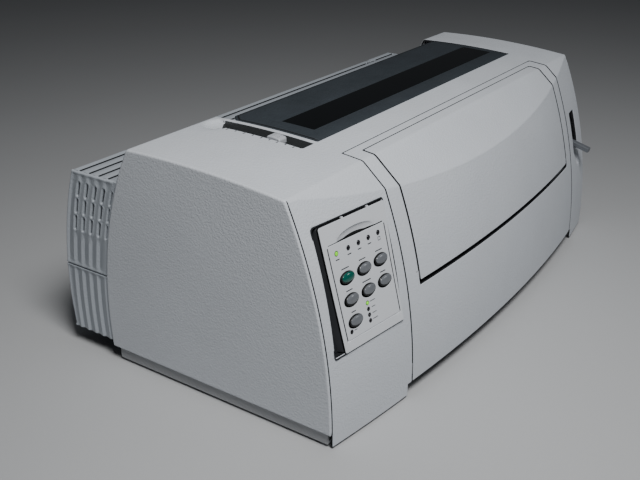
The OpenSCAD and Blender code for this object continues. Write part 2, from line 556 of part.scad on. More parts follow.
base_pan();
feet();
top_case();
left_side_panel();
right_side_panel();
front_cover();
sheet_door();
access_lid();
lid_window();
rear_hood();
rear_cover();
operator_panel();
panel_board();
key(0, [0.05, 0.45, 0.38]);  // key_start
key(1, [0.45, 0.47, 0.5]);  // key_line_feed
key(2, [0.45, 0.47, 0.5]);  // key_form_feed
key(3, [0.45, 0.47, 0.5]);  // key_tear_off
key(4, [0.45, 0.47, 0.5]);  // key_load
key(5, [0.45, 0.47, 0.5]);  // key_tractor
key(6, [0.45, 0.47, 0.5]);  // key_font
color([0.6, 0.9, 0.1]) leds(1);  // leds_lit
color([0.03, 0.03, 0.03]) leds(0);  // leds_dark
thickness_lever();
select_lever();
left_side_frame();
right_side_frame();
platen();
platen_shaft();
platen_bearings();
platen_gear();
platen_knob();
feed_motor();
motor_pinion();
feed_idler_gear();
tractor_idler_gear();
tractor_gear();
tractor_shaft();
tractor_rod();
left_tractor();
right_tractor();
left_tractor_flap();
right_tractor_flap();
carriage_shaft();
carriage_rail();
carriage();
print_head();
ribbon_cartridge();
ribbon_knob();
drive_belt();
drive_pulley();
idler_pulley();
carriage_motor();
paper_guide();
pressure_rollers();
power_supply();
main_board();
power_inlet();
power_switch();
data_connectors();
screws();
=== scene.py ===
import math
import bpy
import bmesh
import numpy as np
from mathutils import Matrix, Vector
from mathutils.geometry import delaunay_2d_cdt


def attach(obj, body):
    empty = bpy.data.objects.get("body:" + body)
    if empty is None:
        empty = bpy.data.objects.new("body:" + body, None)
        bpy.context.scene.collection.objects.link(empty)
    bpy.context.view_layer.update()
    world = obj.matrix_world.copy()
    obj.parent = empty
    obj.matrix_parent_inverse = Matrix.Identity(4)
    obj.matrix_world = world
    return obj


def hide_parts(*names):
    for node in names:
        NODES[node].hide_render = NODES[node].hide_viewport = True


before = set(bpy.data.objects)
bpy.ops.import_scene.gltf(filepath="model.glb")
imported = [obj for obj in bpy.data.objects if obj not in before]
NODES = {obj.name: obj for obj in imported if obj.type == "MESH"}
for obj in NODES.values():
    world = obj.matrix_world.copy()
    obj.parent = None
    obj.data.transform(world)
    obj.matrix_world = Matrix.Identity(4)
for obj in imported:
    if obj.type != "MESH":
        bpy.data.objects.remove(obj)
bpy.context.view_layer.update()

# ---------------------------------------------------------------- lengths in mm, laid out as the printer is: x = 0 left side, y = 0 foot of the front, z = 0 floor
OX, OY = 300.5, 146.5
W = 592.0
BOWR = (W * W / 4 + 24 * 24) / 48.0
P = (150.0, 160.0)
TAU = 2 * math.pi


def to_m(V):
    return (np.asarray(V, float) - np.array([OX, OY, 0.0])) / 1000.0


# ================================================================ materials
def node(nt, kind, **kw):
    n = nt.nodes.new(kind)
    for k, v in kw.items():
        if k in n.inputs.keys():
            n.inputs[k].default_value = v
        else:
            setattr(n, k, v)
    return n


def ramp(nt, src, stops):
    r = nt.nodes.new("ShaderNodeValToRGB")
    e = r.color_ramp.elements
    e[0].position, e[0].color = stops[0][0], stops[0][1] + (1,)
    e[1].position, e[1].color = stops[-1][0], stops[-1][1] + (1,)
    for s in stops[1:-1]:
        n = e.new(s[0])
        n.color = s[1] + (1,)
    nt.links.new(src, r.inputs[0])
    return r.outputs[0]


def shade(c, k):
    return tuple(min(1.0, max(0.0, v * k)) for v in c)


def plastic(name, col, rough=0.45, grain=0.0012, bump=0.12, vary=0.05, metal=0.0, spec=0.5, coat=0.0, wear=0.10, stretch=(1, 1, 1), rvar=0.08, wear_col=None, big=0.05):
    """moulded plastic, paint or metal: leathery grain, uneven tone, uneven gloss, rubbed edges"""
    m = bpy.data.materials.new(name)
    m.use_nodes = True
    nt = m.node_tree
    nt.nodes.clear()
    out = nt.nodes.new("ShaderNodeOutputMaterial")
    b = nt.nodes.new("ShaderNodeBsdfPrincipled")
    nt.links.new(b.outputs[0], out.inputs[0])
    tc = nt.nodes.new("ShaderNodeTexCoord")
    mp = nt.nodes.new("ShaderNodeMapping")
    mp.inputs["Scale"].default_value = stretch
    nt.links.new(tc.outputs["Object"], mp.inputs[0])
    # tone
    n1 = nt.nodes.new("ShaderNodeTexNoise")
    n1.inputs["Scale"].default_value = 1.0 / big
    n1.inputs["Detail"].default_value = 6.0
    n1.inputs["Roughness"].default_value = 0.6
    nt.links.new(mp.outputs[0], n1.inputs["Vector"])
    tone = ramp(nt, n1.outputs[0], [(0.25, shade(col, 1 - vary)), (0.75, shade(col, 1 + vary))])
    # fine speckle
    n2 = nt.nodes.new("ShaderNodeTexNoise")
    n2.inputs["Scale"].default_value = 1.0 / (grain * 1.6)
    n2.inputs["Detail"].default_value = 3.0
    nt.links.new(mp.outputs[0], n2.inputs["Vector"])
    sp = ramp(nt, n2.outputs[0], [(0.3, (1 - vary * 0.9,) * 3), (0.7, (1 + 0.0,) * 3)])
    mul = nt.nodes.new("ShaderNodeMix")
    mul.data_type = "RGBA"
    mul.blend_type = "MULTIPLY"
    mul.inputs[0].default_value = 1.0
    nt.links.new(tone, mul.inputs[6])
    nt.links.new(sp, mul.inputs[7])
    # rubbed edges
    geo = nt.nodes.new("ShaderNodeNewGeometry")
    pr = ramp(nt, geo.outputs["Pointiness"], [(0.515, (0, 0, 0)), (0.60, (1, 1, 1))])
    wn = nt.nodes.new("ShaderNodeMath")
    wn.operation = "MULTIPLY"
    nt.links.new(pr, wn.inputs[0])
    nt.links.new(n1.outputs[0], wn.inputs[1])
    wm = nt.nodes.new("ShaderNodeMath")
    wm.operation = "MULTIPLY"
    nt.links.new(wn.outputs[0], wm.inputs[0])
    wm.inputs[1].default_value = wear * 2
    mix = nt.nodes.new("ShaderNodeMix")
    mix.data_type = "RGBA"
    nt.links.new(wm.outputs[0], mix.inputs[0])
    nt.links.new(mul.outputs[2], mix.inputs[6])
    wc = wear_col or shade(col, 1.35)
    mix.inputs[7].default_value = tuple(wc) + (1,)
    nt.links.new(mix.outputs[2], b.inputs["Base Color"])
    # gloss
    n3 = nt.nodes.new("ShaderNodeTexNoise")
    n3.inputs["Scale"].default_value = 1.0 / (big * 0.35)
    n3.inputs["Detail"].default_value = 5.0
    nt.links.new(mp.outputs[0], n3.inputs["Vector"])
    mr = nt.nodes.new("ShaderNodeMapRange")
    mr.inputs["From Min"].default_value = 0.25
    mr.inputs["From Max"].default_value = 0.75
    mr.inputs["To Min"].default_value = max(0.02, rough - rvar)
    mr.inputs["To Max"].default_value = min(1.0, rough + rvar)
    nt.links.new(n3.outputs[0], mr.inputs["Value"])
    nt.links.new(mr.outputs[0], b.inputs["Roughness"])
    # leathery bump
    v = nt.nodes.new("ShaderNodeTexVoronoi")
    v.feature = "SMOOTH_F1"
    v.inputs["Scale"].default_value = 1.0 / grain
    v.inputs["Randomness"].default_value = 1.0
    wv = nt.nodes.new("ShaderNodeTexNoise")
    wv.inputs["Scale"].default_value = 1.0 / (grain * 2.5)
    wv.inputs["Detail"].default_value = 2.0
    nt.links.new(mp.outputs[0], wv.inputs["Vector"])
    vm = nt.nodes.new("ShaderNodeVectorMath")
    vm.operation = "MULTIPLY_ADD"
    nt.links.new(wv.outputs["Color"], vm.inputs[0])
    vm.inputs[1].default_value = (grain * 1.5,) * 3
    nt.links.new(mp.outputs[0], vm.inputs[2])
    nt.links.new(vm.outputs[0], v.inputs["Vector"])
    bp = nt.nodes.new("ShaderNodeBump")
    bp.inputs["Strength"].default_value = bump
    bp.inputs["Distance"].default_value = grain * 0.35
    nt.links.new(v.outputs["Distance"], bp.inputs["Height"])
    nt.links.new(bp.outputs[0], b.inputs["Normal"])
    b.inputs["Metallic"].default_value = metal
    b.inputs["Specular IOR Level"].default_value = spec
    if coat:
        b.inputs["Coat Weight"].default_value = coat
        b.inputs["Coat Roughness"].default_value = 0.06
    return m


MAT = {
    "case": plastic("case_abs", (0.560, 0.592, 0.635), 0.47, 0.0016, 0.50, 0.03, spec=0.42, wear=0.10, big=0.08),
    "case_fine": plastic("case_fine", (0.555, 0.58, 0.615), 0.42, 0.0006, 0.10, 0.02, spec=0.42, wear=0.08),
    "case_inner": plastic("case_inner", (0.34, 0.35, 0.365), 0.55, 0.0009, 0.12, 0.03, wear=0.04),
    # hood plastic: darker than the case's grey as painted shade; the hood is moulded in the same grey, and the darker
    # colour stands for the shade on the hood at the rear
    "hood": plastic("hood_abs", (0.38, 0.415, 0.455), 0.47, 0.0016, 0.40, 0.03, wear=0.12),
    # seam walls: near-black painted shade, standing in for the shade deep in the gaps between parts
    "seam": plastic("seam_shade", (0.016, 0.017, 0.019), 0.85, 0.0009, 0.10, 0.10, spec=0.10, wear=0.0),
    # panel channel: near-black painted shade for the operator panel's recess, its lining and its tray
    "channel": plastic("panel_channel_shade", (0.016, 0.018, 0.021), 0.62, 0.0009, 0.12, 0.08, spec=0.25, wear=0.03),
    "trough": plastic("lever_trough", (0.055, 0.060, 0.063), 0.50, 0.0010, 0.15, 0.08, wear=0.05),
    "lid": plastic("lid_abs", (0.034, 0.042, 0.050), 0.50, 0.0018, 0.80, 0.12, spec=0.40, wear=0.10, wear_col=(0.12, 0.13, 0.15)),
    "window": plastic("smoke_window", (0.0025, 0.0032, 0.0038), 0.12, 0.004, 0.01, 0.10, spec=0.30, coat=0.10, wear=0.03, rvar=0.025),
    "panel": plastic("panel_plate", (0.585, 0.61, 0.645), 0.36, 0.0005, 0.06, 0.02, wear=0.08),
    "key": plastic("key_grey", (0.135, 0.145, 0.160), 0.15, 0.0010, 0.02, 0.06, coat=0.35, wear=0.10, rvar=0.05, big=0.01),
    "key_green": plastic("key_green", (0.0, 0.085, 0.065), 0.14, 0.0010, 0.02, 0.06, coat=0.4, wear=0.06, rvar=0.05, big=0.01),
    "black": plastic("black_plastic", (0.018, 0.019, 0.021), 0.42, 0.0007, 0.10, 0.12, wear=0.12, wear_col=(0.07, 0.07, 0.075)),
    "socket": plastic("key_socket", (0.004, 0.0045, 0.005), 0.5, 0.0007, 0.06, 0.12, wear=0.02),
    "grey": plastic("grey_plastic", (0.075, 0.08, 0.09), 0.42, 0.0007, 0.12, 0.08, wear=0.15),
    "lever": plastic("lever_knob", (0.42, 0.44, 0.47), 0.33, 0.0007, 0.06, 0.04, wear=0.12),
    "lever_dark": plastic("paper_lever", (0.115, 0.125, 0.14), 0.32, 0.0007, 0.06, 0.05, wear=0.2),
    "nylon": plastic("nylon", (0.62, 0.60, 0.52), 0.38, 0.0009, 0.06, 0.05, wear=0.05),
    "blue": plastic("blue_plastic", (0.03, 0.09, 0.28), 0.35, 0.0008, 0.08, 0.06),
    "rubber": plastic("rubber", (0.018, 0.018, 0.02), 0.72, 0.0006, 0.25, 0.15, spec=0.3, wear=0.05),
    "steel": plastic("zinc_steel", (0.44, 0.46, 0.48), 0.36, 0.006, 0.03, 0.10, metal=1.0, wear=0.15, rvar=0.12, big=0.02),
    "shaft": plastic("ground_steel", (0.56, 0.57, 0.59), 0.16, 0.0005, 0.03, 0.05, metal=1.0, wear=0.1, stretch=(40, 1, 1), rvar=0.06),
    "can": plastic("motor_can", (0.045, 0.046, 0.05), 0.35, 0.0009, 0.10, 0.1, metal=0.4, wear=0.3, wear_col=(0.25, 0.25, 0.26)),
    "brass": plastic("brass", (0.60, 0.44, 0.18), 0.24, 0.0008, 0.05, 0.06, metal=1.0),
    "alloy": plastic("cast_alloy", (0.36, 0.37, 0.39), 0.42, 0.0009, 0.2, 0.08, metal=0.9),
    "board": plastic("circuit_board", (0.012, 0.085, 0.035), 0.34, 0.0018, 0.10, 0.2, coat=0.2, big=0.012),
    "ink": plastic("print_ink", (0.035, 0.037, 0.042), 0.5, 0.0006, 0.03, 0.08, wear=0.0),
}


def glow(name, col, strength):
    m = plastic(name, col, 0.15, 0.0008, 0.02, 0.05, coat=0.4, wear=0.0, rvar=0.04, big=0.004)
    nt = m.node_tree
    b = next(n for n in nt.nodes if n.type == "BSDF_PRINCIPLED")
    src = b.inputs["Base Color"].links[0].from_socket
    nt.links.new(src, b.inputs["Emission Color"])
    b.inputs["Emission Strength"].default_value = strength
    return m


MAT["led_on"] = glow("led_on", (0.22, 0.80, 0.01), 0.30)
MAT["led_off"] = plastic("led_off", (0.006, 0.006, 0.008), 0.14, 0.0008, 0.02, 0.05, coat=0.4, wear=0.0, rvar=0.04)


# ================================================================ mesh helpers
class Build:
    def __init__(self):
        self.V, self.F, self.M = [], [], []

    def add(self, VF, m=0, T=None):
        V, F = VF[:2]
        V = np.asarray(V, float)
        if T is not None:
            V = T(V)
        n = len(self.V)
        self.V.extend(V.tolist())
        self.F.extend([tuple(int(i) + n for i in f) for f in F])
        if len(VF) == 3:
            self.M.extend([k if k else m for k in VF[2]])
        else:
            self.M.extend([m] * len(F))
        return self


def AX(V):  # local (u, v, w) -> (w, u, v): outline in y, z pulled along X
    return V[:, [2, 0, 1]]


def AZ(V):
    return V


def AY(V):  # outline in z, x pulled along Y
    return V[:, [1, 2, 0]]


def ccw(poly):
    p = np.asarray(poly, float)
    a = 0.5 * np.sum(p[:, 0] * np.roll(p[:, 1], -1) - np.roll(p[:, 0], -1) * p[:, 1])
    return p if a > 0 else p[::-1].copy()


def inset(p, d):
    a, b = np.roll(p, 1, 0), np.roll(p, -1, 0)
    e1, e2 = p - a, b - p
    e1 = e1 / np.maximum(np.linalg.norm(e1, axis=1), 1e-9)[:, None]
    e2 = e2 / np.maximum(np.linalg.norm(e2, axis=1), 1e-9)[:, None]
    n1 = np.stack([-e1[:, 1], e1[:, 0]], 1)
    n2 = np.stack([-e2[:, 1], e2[:, 0]], 1)
    m = (n1 + n2) / np.maximum(1 + (n1 * n2).sum(1), 0.25)[:, None]
    return p + m * d


def rpoly(pts, r, n=5):
    pts = [np.array(q, float) for q in pts]
    k = len(pts)
    rr = r if isinstance(r, (list, tuple)) else [r] * k
    out = []
    for i in range(k):
        p0, p, p1 = pts[i - 1], pts[i], pts[(i + 1) % k]
        v0, v1 = p0 - p, p1 - p
        l0, l1 = np.linalg.norm(v0), np.linalg.norm(v1)
        v0, v1 = v0 / l0, v1 / l1
        ang = math.acos(max(-1, min(1, float(v0 @ v1))))
        if rr[i] <= 0 or ang > math.pi - 0.02:
            out.append(p)
            continue
        t = min(rr[i] / math.tan(ang / 2), 0.48 * min(l0, l1))
        re = t * math.tan(ang / 2)
        c = p + (v0 + v1) / np.linalg.norm(v0 + v1) * (re / math.sin(ang / 2))
        a0, a1 = p + v0 * t - c, p + v1 * t - c
        s0, s1 = math.atan2(a0[1], a0[0]), math.atan2(a1[1], a1[0])
        d = (s1 - s0 + math.pi) % TAU - math.pi
        for j in range(n + 1):
            a = s0 + d * j / n
            out.append(c + re * np.array([math.cos(a), math.sin(a)]))
    return np.array(out)


def rect(x0, x1, y0, y1, r=0.0, n=5):
    return rpoly([(x0, y0), (x1, y0), (x1, y1), (x0, y1)], r, n)


def circ(cx, cy, r, n=32):
    a = np.arange(n) * TAU / n
    return np.stack([cx + r * np.cos(a), cy + r * np.sin(a)], 1)


def oval(cx, cy, a, b, n=14):
    """stadium a long in u, b high in v"""
    h = (a - b) / 2
    t = np.linspace(-math.pi / 2, math.pi / 2, n)
    right = np.stack([cx + h + b / 2 * np.cos(t), cy + b / 2 * np.sin(t)], 1)
    left = np.stack([cx - h - b / 2 * np.cos(t), cy - b / 2 * np.sin(t)], 1)
    return np.concatenate([right, left])


def four_arc(cx, cy, a, b, r, n=12):
    """oval of four arcs, a long and b high, end arcs of radius r"""
    c = a / 2 - r
    R = (c * c + b * b / 4 - r * r) / (b - 2 * r)
    e = math.atan2(R - b / 2, c)
    q = []
    for t in np.linspace(-e, e, n):
        q.append((c + r * math.cos(t), r * math.sin(t)))
    for t in np.linspace(e, math.pi - e, n + 2)[1:-1]:
        q.append((R * math.cos(t), b / 2 - R + R * math.sin(t)))
    q = np.array(q)
    return np.concatenate([q, -q]) + (cx, cy)


def ellipse(cx, cy, a, b, n=40):
    t = np.arange(n) * TAU / n
    return np.stack([cx + a * np.cos(t), cy + b * np.sin(t)], 1)


def rings(list_of_rings, cap0=True, cap1=True):
    """closed rings of equal length, each (n, 3)"""
    V = np.concatenate(list_of_rings)
    n = len(list_of_rings[0])
    F = []
    for k in range(len(list_of_rings) - 1):
        for i in range(n):
            j = (i + 1) % n
            F.append((k * n + i, k * n + j, (k + 1) * n + j, (k + 1) * n + i))
    if cap0:
        F.append(tuple(range(n))[::-1])
    if cap1:
        F.append(tuple((len(list_of_rings) - 1) * n + i for i in range(n)))
    return V, F


def prism(poly, w0, w1, r=0.4, n=3):
    p = ccw(poly)
    r = min(r, (w1 - w0) / 2 * 0.98)
    R = []
    for k in range(n + 1):
        a = math.pi / 2 * k / n
        R.append((r * (1 - math.sin(a)), w0 + r * (1 - math.cos(a))))
    for k in range(n + 1):
        a = math.pi / 2 * (n - k) / n
        R.append((r * (1 - math.sin(a)), w1 - r * (1 - math.cos(a))))
    out = []
    for d, w in R:
        q = inset(p, d)
        out.append(np.column_stack([q, np.full(len(q), w)]))
    return rings(out)


def tube(outer, inner, w0, w1, r=0.3, n=2):
    """ring between two outlines with the same number of points"""
    po, pi = ccw(outer), ccw(inner)
    r = min(r, (w1 - w0) / 2 * 0.98)
    sec = []
    for k in range(n + 1):
        a = math.pi / 2 * k / n
        sec.append((po, r * (1 - math.sin(a)), w0 + r * (1 - math.cos(a))))
    for k in range(n + 1):
        a = math.pi / 2 * (n - k) / n
        sec.append((po, r * (1 - math.sin(a)), w1 - r * (1 - math.cos(a))))
    for k in range(n + 1):
        a = math.pi / 2 * k / n
        sec.append((pi, -r * (1 - math.sin(a)), w1 - r * (1 - math.cos(a))))
    for k in range(n + 1):
        a = math.pi / 2 * (n - k) / n
        sec.append((pi, -r * (1 - math.sin(a)), w0 + r * (1 - math.cos(a))))
    out = [np.column_stack([inset(p, d), np.full(len(p), w)]) for p, d, w in sec]
    V, F = rings(out, False, False)
    m, k = len(po), len(out)
    for i in range(m):
        j = (i + 1) % m
        F.append(((k - 1) * m + i, (k - 1) * m + j, j, i))
    return V, F


def lathe(prof, n=48, c=(0, 0)):
    """prof: (w, r) pairs along the axis"""
    a = np.arange(n) * TAU / n
    out = []
    for w, r in prof:
        out.append(np.column_stack([c[0] + r * np.cos(a), c[1] + r * np.sin(a), np.full(n, w)]))
    return rings(out)


def rod(w0, w1, r, c=(0, 0), e=0.4, n=32):
    return lathe([(w0, r - e), (w0 + e * 0.3, r - e * 0.3), (w0 + e, r), (w1 - e, r), (w1 - e * 0.3, r - e * 0.3), (w1, r - e)], n, c)


def bxr(x0, x1, y0, y1, z0, z1, r=0.4, rc=None):
    """block with rounded edges, corners rounded in plan"""
    return prism(rect(x0, x1, y0, y1, rc if rc is not None else r * 1.5, 3), z0, z1, r)


def make(name, B, mats, body="base", nodes=(), sharp=35.0, wn=True, fix=True):
    me = bpy.data.meshes.new(name)
    me.from_pydata(to_m(B.V).tolist(), [], B.F)
    for i, p in enumerate(me.polygons):
        p.material_index = B.M[i]
    me.update()
    for m in mats:
        me.materials.append(MAT[m] if isinstance(m, str) else m)
    if fix:
        bm = bmesh.new()
        bm.from_mesh(me)
        bmesh.ops.remove_doubles(bm, verts=bm.verts, dist=2e-6)
        bmesh.ops.dissolve_degenerate(bm, dist=1e-7, edges=bm.edges)
        bmesh.ops.recalc_face_normals(bm, faces=bm.faces)
        bm.to_mesh(me)
        bm.free()
    me.shade_smooth()
    me.set_sharp_from_angle(angle=math.radians(sharp))
    o = bpy.data.objects.new(name, me)
    bpy.context.scene.collection.objects.link(o)
    if wn:
        w = o.modifiers.new("normals", "WEIGHTED_NORMAL")
        w.keep_sharp = True
        w.mode = "FACE_AREA"
        w.weight = 50
    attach(o, body)
    if nodes:
        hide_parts(*nodes)
    return o


# ---------------------------------------------------------------- skins: an outline in a plane, meshed and laid on a curved surface
def densify(poly, step, cuts=()):
    out = []
    k = len(poly)
    for i in range(k):
        a, b = poly[i], poly[(i + 1) % k]
        L = float(np.linalg.norm(b - a))
        m = max(1, int(math.ceil(L / step)))
        ts = set(j / m for j in range(m))
        if abs(b[1] - a[1]) > 1e-6:
            for c in cuts:
                t = (c - a[1]) / (b[1] - a[1])
                if 0.0 < t < 1.0 and min(abs(t - s) for s in ts) * L > 0.25:
                    ts.add(t)
        for t in sorted(ts):
            out.append(a + (b - a) * t)
    return np.array(out)


def seg_dist(Q, loops, chunk=4000):
    A = np.concatenate(loops)
    Bn = np.concatenate([np.roll(l, -1, 0) for l in loops])
    d = Bn - A
    L2 = np.maximum((d * d).sum(1), 1e-12)
    out = np.empty(len(Q))
    for s in range(0, len(Q), chunk):
        q = Q[s:s + chunk]
        w = q[:, None, :] - A[None]
        t = np.clip((w * d[None]).sum(2) / L2[None], 0, 1)
        r = w - t[..., None] * d[None]
        out[s:s + chunk] = np.sqrt((r * r).sum(2).min(1))
    return out


def inside(Q, poly, chunk=4000):
    x0, y0 = poly[:, 0], poly[:, 1]
    x1, y1 = np.roll(x0, -1), np.roll(y0, -1)
    dy = np.where(np.abs(y1 - y0) < 1e-12, 1e-12, y1 - y0)
    out = np.zeros(len(Q), bool)
    for s in range(0, len(Q), chunk):
        qx, qy = Q[s:s + chunk, 0][:, None], Q[s:s + chunk, 1][:, None]
        c = ((y0[None] > qy) != (y1[None] > qy)) & (qx < (x1 - x0)[None] * (qy - y0[None]) / dy[None] + x0[None])
        out[s:s + chunk] = (c.sum(1) % 2) == 1
    return out


def material_area(Q, outer, holes):
    m = inside(Q, outer)
    for h in holes:
        m &= ~inside(Q, h)
    return m


def skin(outer, holes, S, thick=2.8, edge=0.8, step=6.0, bstep=2.0, feats=(), cuts=(), er=None, disp=None, hstep=None, gap=0, lip=0.06, paint=None):
    """S(u, v) -> points and outward normals, both (n, 3). Edges are rounded by `edge`; er(u, v) scales the rounding."""
    outer = densify(ccw(outer), bstep, cuts)
    holes = [densify(ccw(h)[::-1].copy(), hstep or bstep, cuts) for h in holes]
    loops = [outer] + holes
    pts, eds, n = [], [], 0
    for L in loops:
        for d in (0.0, 0.14, 0.40, 0.72, 1.0, 1.0 + 1.1 / max(edge, 0.05)):
            r = inset(L, d * edge)
            pts.append(r)
            m = len(r)
            eds += [(n + i, n + (i + 1) % m) for i in range(m)]
            n += m
    fpts = []
    for f in feats:
        f = np.asarray(f, float)
        ok = material_area(f, outer, holes) & (seg_dist(f, loops) > edge + 1.6)
        idx = np.where(ok)[0]
        if len(idx) == 0:
            continue
        pos = {int(i): n + k for k, i in enumerate(idx)}
        pts.append(f[idx])
        fpts.append(f[idx])
        eds += [(pos[int(i)], pos[int(i) + 1]) for i in idx if int(i) + 1 in pos]
        n += len(idx)
    lo, hi = outer.min(0), outer.max(0)
    gx = np.arange(lo[0] + step / 2, hi[0], step)
    gy = np.arange(lo[1] + step / 2, hi[1], step)
    G = np.array([(x + (step * 0.25 if j % 2 else -step * 0.25), y) for j, y in enumerate(gy) for x in gx])
    if len(G):
        G = G[material_area(G, outer, holes)]
    if len(G):
        G = G[seg_dist(G, loops) > edge + 1.1 + step * 0.45]
    if len(G) and fpts:
        Fp = np.concatenate(fpts)
        keep = np.ones(len(G), bool)
        for s in range(0, len(G), 2000):
            dd = np.sqrt(((G[s:s + 2000, None] - Fp[None]) ** 2).sum(2)).min(1)
            keep[s:s + 2000] = dd > step * 0.55
        G = G[keep]
    if len(G):
        pts.append(G)
    Q = np.concatenate(pts)
    vo, eo, fo, *_ = delaunay_2d_cdt([Vector(q) for q in Q.tolist()], eds, [], 0, 1e-4)
    U = np.array([tuple(v) for v in vo])
    T = np.array(fo)
    C = U[T].mean(1)
    T = T[material_area(C, outer, holes)]
    a2 = U[T]
    area = np.cross(a2[:, 1] - a2[:, 0], a2[:, 2] - a2[:, 0])
    T = T[np.abs(area) > 1e-7]
    flip = np.cross(U[T][:, 1] - U[T][:, 0], U[T][:, 2] - U[T][:, 0]) < 0
    T[flip] = T[flip][:, ::-1]
    used = np.unique(T)
    remap = -np.ones(len(U), int)
    remap[used] = np.arange(len(used))
    U, T = U[used], remap[T]
    dist = seg_dist(U, loops)
    r = np.full(len(U), edge)
    if er is not None:
        r = r * er(U[:, 0], U[:, 1])
    k = np.clip(r - dist, 0, None)
    depth = r - np.sqrt(np.clip(r * r - k * k, 0, None))
    Pt, N = S(U[:, 0], U[:, 1])
    if disp is not None:
        depth = depth + disp(U[:, 0], U[:, 1], dist)
    top = Pt - N * depth[:, None]
    bot = Pt - N * np.maximum(thick, depth + 0.25)[:, None]
    nv = len(U)
    cnt = {}
    for t in T:
        for i in range(3):
            e = (int(t[i]), int(t[(i + 1) % 3]))
            cnt[e] = cnt.get(e, 0) + 1
    F = [tuple(t) for t in T.tolist()] + [(t[2] + nv, t[1] + nv, t[0] + nv) for t in T.tolist()]
    rim = [e for e in cnt if (e[1], e[0]) not in cnt]
    if paint is not None:
        Cm = U[T].mean(1)
        G = [int(g) for g in paint(Cm[:, 0], Cm[:, 1])] + [0] * len(T)
        F += [(b, a, a + nv, b + nv) for a, b in rim]
        return np.concatenate([top, bot]), F, G + [0] * len(rim)
    if not gap:
        F += [(b, a, a + nv, b + nv) for a, b in rim]
        return np.concatenate([top, bot]), F
    # the wall of the edge: a short lip in the skin's own colour, below it the seam's wall in material number `gap`, a
    # near-black that is painted shade for the shade deep in the seam
    ids = sorted({i for e in rim for i in e})
    at = {i: 2 * nv + k for k, i in enumerate(ids)}
    mid = Pt[ids] - N[ids] * (depth[ids] + lip)[:, None]
    G = [0] * len(F)
    for a, b in rim:
        F += [(b, a, at[a], at[b]), (at[b], at[a], a + nv, b + nv)]
        G += [0, gap]
    return np.concatenate([top, bot, mid]), F, G


# ================================================================ the casing's outer surface
RIDGE = 220.0
YR = 216.66
ZR = 228.6 - 1050 + math.sqrt(1050 ** 2 - (YR - 180) ** 2)
TR = RIDGE + YR - 44


def r_of_z(z):
    return BOWR - (500 - np.sqrt(500.0 ** 2 - (z - 15) ** 2))


def y_front(x, z):
    return (BOWR - 24) - np.sqrt(r_of_z(z) ** 2 - (x - 296) ** 2)


def y_facet(z):
    return 44 - (220 - z) / 0.893


def z_top(y):
    return 228.6 - 1050 + np.sqrt(1050.0 ** 2 - (y - 180) ** 2)


def y_rear(z, s=0.0):
    return -114 + np.sqrt((375.5 + s) ** 2 - (z - 50) ** 2)


def smax(a, b, k):
    h = np.clip(0.5 + 0.5 * (a - b) / k, 0, 1)
    return b * (1 - h) + a * h + k * h * (1 - h)


def raw(x, t):
    z1 = np.minimum(t, RIDGE)
    y1a, y1b = y_front(x, z1), y_facet(z1)
    y1 = smax(y1a, y1b, 0.7) - 0.12 * np.exp(-((y1a - y1b) / 0.9) ** 2)
    y2 = 44 + np.clip(t - RIDGE, 0, YR - 44)
    z2 = z_top(y2)
    z3 = ZR - np.maximum(t - TR, 0)
    y3 = y_rear(z3)
    y = np.where(t <= RIDGE, y1, np.where(t <= TR, y2, y3))
    z = np.where(t <= RIDGE, z1, np.where(t <= TR, z2, z3))
    return np.stack([x, y, z], 1)


def surf(x, t):
    x, t = np.asarray(x, float), np.asarray(t, float)
    p = raw(x, t)
    for t0, a in ((RIDGE, 2.4), (TR, 2.0)):
        m = np.abs(t - t0) < a
        if m.any():
            xm, tm = x[m], t[m]
            s = ((tm - t0 + a) / (2 * a))[:, None]
            A, Bm, Cc = raw(xm, np.full(len(xm), t0 - a)), raw(xm, np.full(len(xm), t0)), raw(xm, np.full(len(xm), t0 + a))
            p[m] = (1 - s) ** 2 * A + 2 * s * (1 - s) * Bm + s * s * Cc
    return p


def S_body(x, t):
    h = 0.05
    p = surf(x, t)
    dx = surf(x + h, t) - surf(x - h, t)
    dt = surf(x, t + h) - surf(x, t - h)
    n = np.cross(dx, dt)
    n /= np.maximum(np.linalg.norm(n, axis=1), 1e-12)[:, None]
    return p, n


def z_crease(x):
    lo, hi = np.full(len(x), 120.0), np.full(len(x), 220.0)
    for _ in range(40):
        m = (lo + hi) / 2
        f = y_facet(m) - y_front(x, m)
        lo, hi = np.where(f < 0, m, lo), np.where(f < 0, hi, m)
    return (lo + hi) / 2


XS = np.arange(-2, 596, 3.0)
ZC = z_crease(XS)
BODY_FEATS = [np.column_stack([XS, np.full(len(XS), RIDGE + d)]) for d in (-2.4, -1.2, 0, 1.2, 2.4)]
BODY_FEATS += [np.column_stack([XS, ZC + d]) for d in (-2.4, -1.2, -0.6, 0, 0.6, 1.2, 2.4)]
BODY_FEATS += [np.column_stack([XS, np.full(len(XS), TR + d)]) for d in (-2.0, -1.0, 0, 1.0, 2.0)]
BODY_CUTS = [RIDGE + d for d in (-2.4, -1.2, 0, 1.2, 2.4)] + [TR + d for d in (-2, -1, 0, 1, 2)]

# operator panel frame
_a, _b = math.radians(75.6), math.radians(-7.4)
_RX = np.array([[1, 0, 0], [0, math.cos(_a), -math.sin(_a)], [0, math.sin(_a), math.cos(_a)]])
_RZ = np.array([[math.cos(_b), -math.sin(_b), 0], [math.sin(_b), math.cos(_b), 0], [0, 0, 1]])
PR = _RZ @ _RX


def PAN(V):
    return V @ PR.T + np.array([60, 8.6, 140])


# ================================================================ top case
def rec_pt(u, v):
    q = PAN(np.array([[u, v, 0.0]]))[0]
    return (q[0], q[2])


